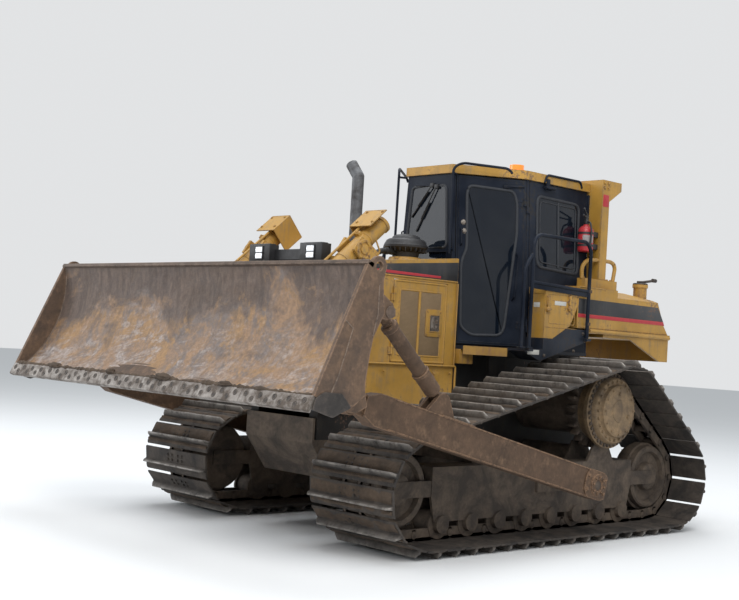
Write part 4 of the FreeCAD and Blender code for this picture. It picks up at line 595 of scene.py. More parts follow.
def make_finishes(paint):
    """All of the machine's finishes, by the name of what they cover."""
    yellow = tuple(paint.yellow)
    black = tuple(paint.cab_black)
    soil = tuple(paint.soil)
    rust = tuple(paint.rust)
    FINISHES.update({
        "yellow": faded_paint("yellow_paint", yellow, 0.55),
        "yellow_rusty": faded_paint("yellow_paint_rusty", dimmed(yellow, 0.85), 1.0,
                                    soil=(0.24, 0.13, 0.06), fade=0.25),
        "black": faded_paint("cab_paint", black, 0.04, soil=(0.06, 0.06, 0.065), chips=(0.04, 0.037, 0.034),
                             rough=0.42, fade=0.25, gloss=0.12),
        # Painted shadow: the main frame is near-black in place of its yellow, for the shade it sits in under
        # the machine. The soil runs on it are real dirt.
        "shadow": faded_paint("painted_frame_shadow", (0.016, 0.014, 0.013), 0.5,
                              soil=(0.05, 0.038, 0.028), rims=False, gloss=0.2),
        # Dark fender paint. On the deck the same dark colour is painted shade, for the deck lying in shade
        # below the fenders.
        "fenders_and_deck_shade": faded_paint("fender_and_deck_shade_paint", (0.008, 0.013, 0.024), 0.25, soil=(0.07, 0.055, 0.045),
                                   chips=(0.06, 0.05, 0.045), rough=0.45, gloss=0.25),
        "band": faded_paint("band_paint", (0.014, 0.015, 0.018), 0.3, soil=(0.10, 0.085, 0.07),
                            rough=0.4, fade=0.2, rims=False),
        "red": faded_paint("red_paint", tuple(paint.red), 0.2, rough=0.3, fade=0.1, rims=False),
        "line": plain_finish("line_red", tuple(paint.red), 0.45),
        "moldboard": scoured_steel("moldboard_steel", (0.105, 0.078, 0.066), (0.37, 0.215, 0.092),
                                   (0.42, 0.37, 0.35)),
        "blade_back": rusty_steel("blade_steel", (0.17, 0.105, 0.065), (0.075, 0.052, 0.040),
                                  (0.26, 0.16, 0.10)),
        "end_plate": rusty_steel("end_plate_steel", (0.14, 0.095, 0.070), (0.07, 0.052, 0.042),
                                 (0.22, 0.165, 0.125)),
        "edge": worn_steel("edge_steel", (0.33, 0.30, 0.275), (0.12, 0.095, 0.078), 0.50, 0.55, 9.0),
        "arm": rusty_steel("arm_steel", rust, dimmed(rust, 0.5), (0.24, 0.145, 0.085)),
        "track": muddy_steel("track_steel", (0.085, 0.068, 0.055), (0.026, 0.022, 0.020),
                             (0.30, 0.275, 0.25)),
        "under": muddy_steel("under_steel", (0.135, 0.10, 0.072), (0.05, 0.038, 0.030), (0.24, 0.21, 0.18)),
        "hub": muddy_steel("hub_paint", tuple(paint.hub), (0.13, 0.09, 0.055), (0.30, 0.25, 0.19), 0.7),
        "soil": muddy_steel("soil", soil, dimmed(soil, 0.5), soil, 0.95),
        "iron": rusty_steel("engine_iron", (0.06, 0.05, 0.045), (0.025, 0.022, 0.020),
                            (0.10, 0.08, 0.065), 0.7),
        "stack": worn_steel("stack_steel", (0.13, 0.135, 0.145), (0.05, 0.045, 0.045), 0.52, 0.5, 6.0, 0.3),
        "chrome": worn_steel("rod_chrome", (0.70, 0.70, 0.70), (0.30, 0.24, 0.18), 0.70, 0.16, 3.0, 0.95),
        "glass": tinted_glass("cab_glass", tuple(paint.glass)),
        "rubber": plain_finish("window_rubber", (0.030, 0.033, 0.040), 0.7),
        "plastic": plain_finish("black_plastic", (0.020, 0.020, 0.022), 0.5),
        "hose": plain_finish("hose_rubber", (0.018, 0.018, 0.019), 0.6),
        "zinc": worn_steel("bolt_steel", (0.34, 0.31, 0.28), (0.14, 0.10, 0.07), 0.5, 0.45, 20.0),
        "lens": plain_finish("lamp_lens", (0.85, 0.88, 0.92), 0.12, 0.0, 0.1, 60, Coat_Weight=0.6,
                             Emission_Color=(0.9, 0.95, 1.0, 1.0), Emission_Strength=0.35),
        "amber": plain_finish("amber_lens", (0.90, 0.30, 0.03), 0.15, 0.0, 0.1, 60, Coat_Weight=0.5,
                              Emission_Color=(1.0, 0.25, 0.02, 1.0), Emission_Strength=0.25),
        "punched": perforated_sheet("punched_sheet", (0.30, 0.20, 0.105)),
        "cloth": ribbed_cloth("seat_cloth", (0.045, 0.045, 0.05)),
        "white": plain_finish("plate_white", (0.62, 0.61, 0.57), 0.5),
        "plate_grey": plain_finish("label_grey", (0.30, 0.27, 0.27), 0.5),
    })


NODES_BY_FINISH = {
    "track": "left_track right_track",
    # The final drives take this dark muddy finish partly for real mud and partly as painted shade behind the
    # drive wheels.
    "under": "left_roller_frame right_roller_frame left_rollers right_rollers final_drives "
             "pivot_shafts equalizer_bar belly_guard trunnion_balls",
    "hub": "drive_wheels",
    "shadow": "main_frame",
    "iron": "engine radiator",
    "yellow": "radiator_guard hood side_panels left_engine_door right_engine_door cab_roof fuel_tank "
              "tank_shoulders tool_box hydraulic_tank roll_over_bar lift_yokes left_lift_barrel "
              "right_lift_barrel",
    "band": "grille",
    "stack": "exhaust_stack",
    "plastic": "air_intake dash work_lamps",
    "black": "cab_front left_cab_side right_cab_side cab_rear left_cab_door right_cab_door cab_floor "
             "hand_rails",
    "glass": "cab_glass left_door_glass right_door_glass",
    "amber": "beacon",
    "cloth": "seat",
    # The deck takes the dark fender paint as painted shade.
    "fenders_and_deck_shade": "deck fenders",
    "red": "extinguisher",
    "chrome": "left_lift_rod right_lift_rod tilt_rod",
    "blade_back": "blade",
    "edge": "cutting_edge",
    "arm": "left_push_arm right_push_arm left_brace tilt_barrel",
}
NODE_FINISHES = {node: look for look, nodes in NODES_BY_FINISH.items() for node in nodes.split()}


def colour_field(name, description, default):
    return bpy.props.FloatVectorProperty(name=name, description=description, subtype="COLOR", default=default,
                                         min=0, max=1)


def angle_field(name, description, degrees):
    return bpy.props.FloatProperty(name=name, description=description, subtype="ANGLE",
                                   default=math.radians(degrees))


class BulldozerPaint(bpy.types.PropertyGroup):
    """Colours of the machine, linear."""

    yellow: colour_field("Yellow", "Faded machine yellow", (0.41, 0.222, 0.032))
    cab_black: colour_field("Cab", "Dark paint of the cab and rails", (0.003, 0.007, 0.017))
    red: colour_field("Red", "Fire extinguisher and band line", (0.45, 0.025, 0.035))
    glass: colour_field("Glass", "Tint of the windows", (0.006, 0.010, 0.018))
    rust: colour_field("Rust", "Rusted push arms and brace", (0.135, 0.078, 0.045))
    soil: colour_field("Soil", "Dried mud", (0.115, 0.080, 0.055))
    hub: colour_field("Hub", "Dusty cover of the drive wheels", (0.30, 0.20, 0.105))


class BulldozerStage(bpy.types.PropertyGroup):
    """Where the camera stands, and the floor and light."""

    place: bpy.props.FloatVectorProperty(name="Camera", description="Where the camera stands",
                                         subtype="XYZ", unit="LENGTH", default=(7.7548, -7.7018, 1.5595))
    heading: angle_field("Heading", "Turn of the view from straight ahead", 47.13)
    rise: angle_field("Rise", "Upward tilt of the view", 2.05)
    roll: angle_field("Roll", "Sideways tilt of the camera", 3.41)
    focal_pixels: bpy.props.FloatProperty(name="Focal length", description="Focal length in picture pixels",
                                          default=1213.25)
    floor: colour_field("Floor", "Colour of the floor and backdrop", (0.78, 0.79, 0.80))


class BULLDOZER_OT_finishes(bpy.types.Operator):
    """Make the finishes and give each solid its own"""

    bl_idname = "bulldozer.finishes"
    bl_label = "Finishes"

    def execute(self, context):
        make_finishes(context.scene.bulldozer_paint)
        for name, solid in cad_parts.items():
            for slot in solid.material_slots:
                slot.material = FINISHES[NODE_FINISHES[name]]
        return {"FINISHED"}


def lamp(name, at, towards, size, power, colour=(1, 1, 1)):
    """A square soft light aimed at a point."""
    data = bpy.data.lights.new(name, "AREA")
    data.size, data.energy, data.color = size, power, colour
    made = bpy.data.objects.new(name, data)
    made.location = at
    made.rotation_euler = (Vector(towards) - Vector(at)).to_track_quat("-Z", "Y").to_euler()
    bpy.context.scene.collection.objects.link(made)


def plain_backdrop(tree, ground, colour, light, strength):
    """Share of the backdrop's colour where a ray comes from the camera, a mirror or glass, else the light."""
    path = tree.nodes.new("ShaderNodeLightPath")
    seen = path.outputs["Is Camera Ray"]
    for other in ("Is Glossy Ray", "Is Transmission Ray"):
        larger = tree.nodes.new("ShaderNodeMath")
        larger.operation = "MAXIMUM"
        tree.links.new(seen, larger.inputs[0])
        tree.links.new(path.outputs[other], larger.inputs[1])
        seen = larger.outputs[0]
    show = tree.nodes.new("ShaderNodeBackground")
    show.inputs["Color"].default_value = (*colour, 1)
    ground.inputs["Color"].default_value = (*light, 1)
    ground.inputs["Strength"].default_value = strength
    mixed = tree.nodes.new("ShaderNodeMixShader")
    tree.links.new(seen, mixed.inputs[0])
    tree.links.new(ground.outputs[0], mixed.inputs[1])
    tree.links.new(show.outputs[0], mixed.inputs[2])
    return mixed.outputs[0]


class BULLDOZER_OT_stage(bpy.types.Operator):
    """Make the floor, the soft light and the camera"""

    bl_idname = "bulldozer.stage"
    bl_label = "Stage"

    def execute(self, context):
        scene, look = context.scene, context.scene.bulldozer_stage
        yaw, rise, roll = look.heading, look.rise, look.roll
        ahead = Vector((-math.sin(yaw) * math.cos(rise), math.cos(yaw) * math.cos(rise), math.sin(rise)))
        level = Vector((math.cos(yaw), math.sin(yaw), 0))
        upright = level.cross(ahead)
        right = level * math.cos(roll) + upright * math.sin(roll)
        up = upright * math.cos(roll) - level * math.sin(roll)
        data = bpy.data.cameras.new("camera")
        data.sensor_width = SENSOR_WIDTH
        data.lens = look.focal_pixels / PHOTO_WIDTH * SENSOR_WIDTH
        data.clip_end = 500
        camera = bpy.data.objects.new("camera", data)
        camera.matrix_world = (Matrix.Translation(look.place)
                               @ Matrix((right, up, -ahead)).transposed().to_4x4())
        scene.collection.objects.link(camera)
        scene.camera = camera
        scene.view_settings.view_transform = "Standard"
        half = 60.0
        mesh = bpy.data.meshes.new("floor")
        corners = [(*corner, 0) for corner in rectangle((-half, -half), (half, half))]
        mesh.from_pydata(corners, [], [(0, 1, 2, 3)])
        floor = bpy.data.objects.new("floor", mesh)
        scene.collection.objects.link(floor)
        ground = Finish("floor")
        colour = tuple(look.floor)
        body = ground.mix(ground.noise(0.7, 3), colour, dimmed(colour, 0.97))
        mesh.materials.append(ground.done(body, 0.9, Specular_IOR_Level=0.0))
        world = bpy.data.worlds.new("sky")
        scene.world = world
        world.use_nodes = True
        tree = world.node_tree
        shown = plain_backdrop(tree, tree.nodes["Background"], (0.76, 0.77, 0.78), (0.93, 0.97, 1.0), 0.62)
        tree.links.new(shown, tree.nodes["World Output"].inputs["Surface"])
        lamp("key", (9, -9, 12), (0, 0, 1), 9, 1500, (1.0, 0.985, 0.96))
        lamp("top", (-2, 2, 14), (0, 0, 1), 12, 1300, (0.96, 0.98, 1.0))
        lamp("fill", (-10, -8, 6), (0, 0, 1), 8, 500, (0.96, 0.98, 1.0))
        return {"FINISHED"}


WHEELS = np.array([(-1.244, 0.472), (2.028, 0.472), (1.250, 1.093)])
PITCH_RADIUS = 0.350
SHOES = 45
TRACK_X, TRACK_HALF = 1.143, 0.457


def track_pins():
    """Pin places (y, z) at even distances on the loop: tangents between the wheels, arcs round them."""
    path = []
    for here in range(3):
        at, after = WHEELS[here], WHEELS[(here + 1) % 3]
        last = WHEELS[here - 1]
        normals = [np.array([d[1], -d[0]]) for d in (unit(at - last), unit(after - at))]
        first, second = [math.atan2(n[1], n[0]) for n in normals]
        turn = np.linspace(first, first + (second - first) % (2 * math.pi), 60)
        path.append(at + PITCH_RADIUS * np.stack([np.cos(turn), np.sin(turn)], -1))
    path = np.vstack(path)
    path = np.vstack([path, path[:1]])
    run = np.concatenate([[0], np.cumsum(np.linalg.norm(np.diff(path, axis=0), axis=-1))])
    along = np.arange(SHOES) / SHOES * run[-1] % run[-1]
    return np.stack([np.interp(along, run, path[:, k]) for k in range(2)], -1)


def shoe_frames():
    """Middle of each link and the matrix whose columns are across (x), outward and along the travel."""
    pins = track_pins()
    after = np.roll(pins, -1, 0)
    along = unit(after - pins)
    middle = (pins + after) / 2
    places = np.column_stack([np.full(SHOES, TRACK_X), middle])
    zero, one = np.zeros(SHOES), np.ones(SHOES)
    across = np.column_stack([one, zero, zero])
    outward = np.column_stack([zero, along[:, 1], -along[:, 0]])
    travel = np.column_stack([zero, along])
    return places, np.stack([across, outward, travel], -1)


SHOE = np.array([(-0.100, 0.053), (-0.092, 0.050), (0.080, 0.050), (0.100, 0.042),
                 (0.106, 0.048), (0.096, 0.060), (0.074, 0.066), (0.052, 0.066), (0.0435, 0.071),
                 (0.0375, 0.112), (0.034, 0.121), (0.0275, 0.1235), (0.021, 0.121), (0.0175, 0.112),
                 (0.0115, 0.071), (0.003, 0.066), (-0.088, 0.066), (-0.100, 0.061)])
PLATE_TOP, LUG_TOP = 0.066, 0.1235


def shoe_form(draw):
    """A grouser shoe: its section carried across, the lug lower at both ends and worn unevenly."""
    shares = np.array([-1, -0.985, -0.93, -0.8, -0.6, -0.4, -0.2, 0, 0.2, 0.4, 0.6, 0.8, 0.93, 0.985, 1])
    stations = shares * TRACK_HALF
    rings = np.empty((len(stations), len(SHOE), 3))
    end = np.abs(stations) / TRACK_HALF
    height = (1 - 0.55 * np.clip((end - 0.93) / 0.07, 0, 1)) * (1 - 0.05 * draw.random(len(stations)))
    rise = np.clip(SHOE[:, 1] - PLATE_TOP, 0, None)
    rings[..., 0] = stations[:, None]
    rings[..., 1] = np.minimum(SHOE[:, 1], PLATE_TOP) + rise * height[:, None]
    rings[..., 2] = SHOE[:, 0]
    wear = np.clip((rise / (LUG_TOP - PLATE_TOP) - 0.62) / 0.3, 0, 1)
    return stacked(rings, np.tile(wear, len(stations)) * np.repeat(0.55 + 0.45 * draw.random(len(stations)),
                                                                 len(SHOE)))


def soil_form(draw, low, high):
    """Packed soil on a shoe beside the lug: a strip of uneven height that thins out at its rims."""
    across = np.linspace(-0.97, 0.97, 22) * TRACK_HALF
    along = np.linspace(low, high, 7)
    x, t = np.meshgrid(across, along, indexing="ij")
    lobe = np.sin(np.linspace(0, math.pi, 7))[None] ** 0.6
    rough = draw.random(x.shape) * 0.5 + waves(np.stack([x, t, x * 0], -1).reshape(-1, 3) * 3,
                                               int(draw.integers(9999)), 0.5).reshape(x.shape)
    height = PLATE_TOP - 0.003 + 0.020 * lobe * np.clip(0.35 + 0.5 * rough, 0, 1.3)
    rings = np.empty((22, 9, 3))
    rings[:, :7] = np.stack([x, height, t], -1)
    rings[:, 7:, 0] = x[:, :2]
    rings[:, 7:, 1] = PLATE_TOP - 0.006
    rings[:, 7, 2], rings[:, 8, 2] = high, low
    return stacked(rings)


def gear(teeth, low, high, duty=0.5, phase=0.0):
    """Outline of a toothed ring: four points a tooth between two radii."""
    step = 2 * math.pi / teeth
    turn = (np.arange(teeth)[:, None] + np.array([0.0, 0.16, duty, duty + 0.16])[None]) * step + phase
    radius = np.tile([low, high, high, low], teeth)
    return np.stack([np.cos(turn.ravel()), np.sin(turn.ravel())], -1) * radius[:, None]


class BULLDOZER_OT_tracks(bpy.types.Operator):
    """Two chains of shoes with links, bolts and packed soil"""

    bl_idname = "bulldozer.tracks"
    bl_label = "Tracks"

    def execute(self, context):
        places, turns = shoe_frames()
        for seed, (name, turn) in zip((32, 30), SIDES):
            draw = np.random.default_rng(seed)
            kinds = [shoe_form(draw) for _ in range(5)]
            pick = draw.integers(0, 5, SHOES)
            shoes = joined([copies(kinds[k], places[pick == k], turns[pick == k]) for k in range(5)])
            spots = [(x, PLATE_TOP, t) for x in (-0.105, -0.045, 0.045, 0.105) for t in (-0.055, -0.015)]
            heads = copies(bolts(spots, 0.011, "y", 0.010), places, turns)
            link = prism(rounded([(-0.045, -0.125), (0.040, -0.125), (0.050, -0.10),
                                  (0.050, 0.10), (0.040, 0.125),
                                  (-0.045, 0.125)], 0.02, 3), -0.015, 0.015, "xy")
            link = changed(link, [(0, 0, 1), (1, 0, 0), (0, 1, 0)])
            links = joined(moved(link, (-0.085, 0, 0)), moved(link, (0.085, 0, 0)))
            barrel = turned([(-0.108, 0.018), (-0.104, 0.024), (-0.104, 0.030),
                             (0.104, 0.030), (0.104, 0.024), (0.108, 0.018)], (0, 0, -0.1), "x", 12)
            chain = copies(joined(links, barrel), places, turns)
            dirt = []
            for kind in range(6):
                form = joined(soil_form(draw, -0.092, 0.008), soil_form(draw, 0.047, 0.082))
                keep = draw.integers(0, 6, SHOES) == kind
                dirt.append(copies(form, places[keep], turns[keep]))
            parts = [("shoes", joined(shoes, heads), "track"), ("chain", chain, "under"),
                     ("soil", joined(dirt), "soil")]
            for label, form, look in parts:
                piece(f"{name}_track_{label}", turn(form), look,
                      replaces=(f"{name}_track",) if label == "shoes" else ())
        return {"FINISHED"}


class BULLDOZER_OT_wheels(bpy.types.Operator):
    """Idlers, rollers, and drive wheels with their hubs"""

    bl_idname = "bulldozer.wheels"
    bl_label = "Wheels"

    def execute(self, context):
        idler = [(-0.105, 0.10), (-0.105, 0.27), (-0.095, 0.286), (-0.045, 0.290),
                 (-0.040, 0.312), (0.040, 0.312), (0.045, 0.290), (0.095, 0.286), (0.105, 0.27),
                 (0.098, 0.235), (0.055, 0.225), (0.050, 0.13), (0.10, 0.12), (0.115, 0.10), (0.115, 0.05)]
        roller = [(-0.105, 0.06), (-0.105, 0.118), (-0.085, 0.118), (-0.080, 0.100),
                  (0.080, 0.100), (0.085, 0.118), (0.105, 0.118), (0.110, 0.075), (0.150, 0.070),
                  (0.152, 0.040)]
        wheels = [turned(idler, (TRACK_X, y, z), "x", 44) for y, z in WHEELS[:2]]
        spots = np.vstack([spokes_at((TRACK_X + 0.100, *at), 0.10, 6) for at in WHEELS[:2]])
        caps = bolts(spots, 0.010)
        rollers = [turned(roller, (TRACK_X, -0.790 + 0.337 * k, 0.195), "x", 20) for k in range(8)]
        piece("idlers", both(*wheels, caps), "under",
              replaces=("left_rollers", "right_rollers"))
        piece("rollers", both(*rollers), "under")
        y, z = WHEELS[2]
        ring = prism(gear(25, 0.295, 0.345, 0.40) + (y, z), TRACK_X - 0.04, TRACK_X + 0.04)
        hub = turned([(TRACK_X - 0.05, 0.27), (TRACK_X + 0.06, 0.275), (1.285, 0.285),
                      (1.288, 0.325), (1.294, 0.335), (1.330, 0.337), (1.336, 0.330), (1.338, 0.312),
                      (1.345, 0.300), (1.382, 0.292), (1.393, 0.280), (1.396, 0.236), (1.400, 0.232),
                      (1.425, 0.226), (1.434, 0.214), (1.4345, 0.190), (1.431, 0.186), (1.431, 0.10),
                      (1.436, 0.096), (1.4365, 0.03)], (0, y, z), "x", 56)
        crown = prism(gear(40, 0.302, 0.326, 0.5) + (y, z), 1.3385, 1.352)
        fast = bolts(spokes_at((1.396, y, z), 0.258, 24), 0.0115)
        more = bolts(spokes_at((1.3385, y, z), 0.316, 20, "x", 0.08), 0.010)
        inner = bolts(spokes_at((1.4345, y, z), 0.203, 12), 0.009)
        plug = bolts([(1.431, y + 0.135, z - 0.05), (1.431, y, z + 0.15)], 0.017, "x", 0.012)
        piece("drive_rings", both(ring), "under", replaces=("drive_wheels",))
        piece("hubs", both(hub, inner, plug, fast), "hub")
        piece("hub_crowns", both(crown, more), "under")
        return {"FINISHED"}


BLADE_LEAN = math.radians(24.5)
BLADE_FRONT, BLADE_FOOT = -2.819, 1.118
BLADE_HALF, BLADE_SIDE = 1.995, 1.9955
EDGE_HALF = float(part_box("cutting_edge")[1][0])
EDGE_UP = float(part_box("cutting_edge")[1][2] - BLADE_FOOT) / math.cos(BLADE_LEAN)


def on_blade(back, up, x=0.0):
    """A point from how far behind and above the cutting edge it is, measured in the leaning blade."""
    y = BLADE_FRONT + np.asarray(back) * math.cos(BLADE_LEAN) + np.asarray(up) * math.sin(BLADE_LEAN)
    z = BLADE_FOOT - np.asarray(back) * math.sin(BLADE_LEAN) + np.asarray(up) * math.cos(BLADE_LEAN)
    x, y, z = np.broadcast_arrays(np.asarray(x, float), y, z)
    return np.stack([x, y, z], -1)


def blade_arc(share, radius=0.900):
    """Front face of the moldboard, (back, up) at shares from its foot to its top: a circle's arc."""
    foot, top = np.array([0.028, EDGE_UP - 0.046]), np.array([0.0, 1.079])
    chord = np.linalg.norm(top - foot)
    half = math.asin(chord / 2 / radius)
    out = np.array([(top - foot)[1], -(top - foot)[0]]) / chord
    centre = (foot + top) / 2 - out * radius * math.cos(half)
    start = math.atan2(*(foot - centre)[::-1])
    end = math.atan2(*(top - centre)[::-1])
    turn = start + (end - start) * np.asarray(share)
    return centre + radius * np.stack([np.cos(turn), np.sin(turn)], -1)


def in_blade(outline, low, high, edge=0.003):
    """A prism whose (back, up) outline leans with the blade, between two x."""
    flat = prism(outline, low, high, "yz", edge)
    x, back, up = flat.points.T
    return Form(on_blade(back, up, x), flat.faces, flat.wear)


class BULLDOZER_OT_blade(bpy.types.Operator):
    """The blade's face and top lip, end bits, cutting edge with its bolts, welds, and soil along the edge"""

    bl_idname = "bulldozer.blade"
    bl_label = "Blade"

    def execute(self, context):
        half, rows, columns = 1.962, 40, 120
        share, x = np.meshgrid(np.linspace(0, 1, rows), np.linspace(-half, half, columns), indexing="ij")
        arc = blade_arc(share)
        points = on_blade(arc[..., 0], arc[..., 1], x)
        dent = 0.004 * waves(np.stack([x, share * 0.9, x * 0], -1).reshape(-1, 3), 5, 0.9).reshape(x.shape)
        front = points + np.array([0, -0.0045, 0]) + dent[..., None] * np.array([0, -0.5, 0])
        behind = points + np.array([0, 0.006, 0])
        skin = surface(np.concatenate([front, behind[::-1]]), round_u=True)
        piece("moldboard", skin, "moldboard", "blade_body")
        lip = in_blade(rounded([(-0.012, 1.052), (0.050, 1.045), (0.050, 1.082), (-0.008, 1.084)], 0.008, 3),
                       -BLADE_HALF, BLADE_HALF)
        piece("blade_lip", lip, "end_plate", "blade_body")
        side = BLADE_SIDE
        welds = [bead(on_blade(*blade_arc(np.linspace(0, 1, 30)).T, 1.966) + (-0.004, -0.004, 0.0), 0.007),
                 bead(on_blade([0.004, 0.085], [0.640, 0.622], side), 0.005),
                 bead(on_blade([0.085, 0.105, 0.120, 0.118], [0.622, 0.45, 0.30, 0.12], side), 0.005),
                 bead(on_blade([0.150, 0.235, 0.262], [0.985, 0.800, 0.66], side), 0.005)]
        piece("blade_welds", both(*welds), "end_plate", "blade_body")
        skirt = in_blade(rounded([(0.012, EDGE_UP - 0.004), (0.020, 0.020), (0.200, 0.045),
                                  (0.315, 0.170), (0.200, 0.215),
                                  (0.060, EDGE_UP + 0.060)], 0.015, 4), side - 0.003, side + 0.010, 0.004)
        piece("end_bits", both(skirt), "iron", "blade_body")
        edge, marks = [], []
        third = (EDGE_HALF - 0.548) / 2
        spans = [(-EDGE_HALF - 0.003, -0.552 - third - 0.002), (-0.552 - third + 0.002, -0.552),
                 (-0.548, 0.548), (0.552, 0.552 + third - 0.002), (0.552 + third + 0.002, EDGE_HALF + 0.003)]
        for low, high in spans:
            edge.append(in_blade(rounded([(-0.010, 0.004), (0.004, 0.0), (0.030, 0.030),
                                          (0.024, EDGE_UP + 0.006), (-0.004, EDGE_UP + 0.006),
                                          (-0.008, EDGE_UP - 0.012)], 0.004, 3),
                                 low, high))
            count = int((high - low - 0.10) / 0.15) + 1
            start = (low + high) / 2 - (count - 1) * 0.075
            marks += [(start + 0.15 * k, EDGE_UP * 0.66) for k in range(count)]
            marks += [(start + 0.075 + 0.15 * k, EDGE_UP * 0.32) for k in range(count - 1)]
        cup = pipe_ring([(-0.001, 0.016), (0.0035, 0.017), (0.0035, 0.021), (-0.001, 0.023)],
                        (0, 0, 0), "z", 14)
        nut = turned([(-0.004, 0.015), (0.001, 0.014), (0.0022, 0.008), (0.0022, 0.002)], (0, 0, 0), "z", 12)
        lean_sin, lean_cos = math.sin(BLADE_LEAN), math.cos(BLADE_LEAN)
        turn = np.array([(1, 0, 0), (0, lean_sin, -lean_cos), (0, lean_cos, lean_sin)])
        shut = copies(changed(joined(cup, nut), turn), [on_blade(-0.0085, up, x) for x, up in marks])
        piece("edge_sections", joined(edge), "edge", "blade_body")
        piece("edge_bolts", shut, "iron", "blade_body")
        run = np.linspace(-EDGE_HALF + 0.02, EDGE_HALF - 0.02, 420)
        ridge = on_blade(0.006, EDGE_UP + 0.012, run)
        grow = np.clip(1 + 0.9 * waves(ridge, 71, 0.16) + 0.5 * waves(ridge, 72, 0.05), 0.25, 2.4)
        crust = [swept(ridge, circle(0.013, 8), (0, 0, 1), grow=grow)]
        crust += [clod(on_blade(-0.006, EDGE_UP + 0.018, x), size, 80 + k)
                  for k, (x, size) in enumerate([(-0.42, (0.06, 0.03, 0.024)), (0.30, (0.10, 0.035, 0.026)),
                                                 (1.05, (0.07, 0.03, 0.020)), (-1.30, (0.09, 0.03, 0.022))])]
        piece("edge_soil", joined(crust), "soil", "blade_body")
        return {"FINISHED"}


def panel(outline, x, thick, edge=0.0015):
    """A sheet lying against the plane x, its (y, z) outline thick outwards."""
    return prism(outline, x, x + thick, "yz", edge)


def frame_ring(low, high, x, radius, corner=0.04, flat=0.6):
    """A rounded bead round a rectangle (y, z) lying in the plane x."""
    (y0, z0), (y1, z1) = low, high
    path = rounded([(x, y0, z0), (x, y1, z0), (x, y1, z1), (x, y0, z1)], corner, 7)
    return swept(path, circle(radius, 10) * (flat, 1), closed=True)


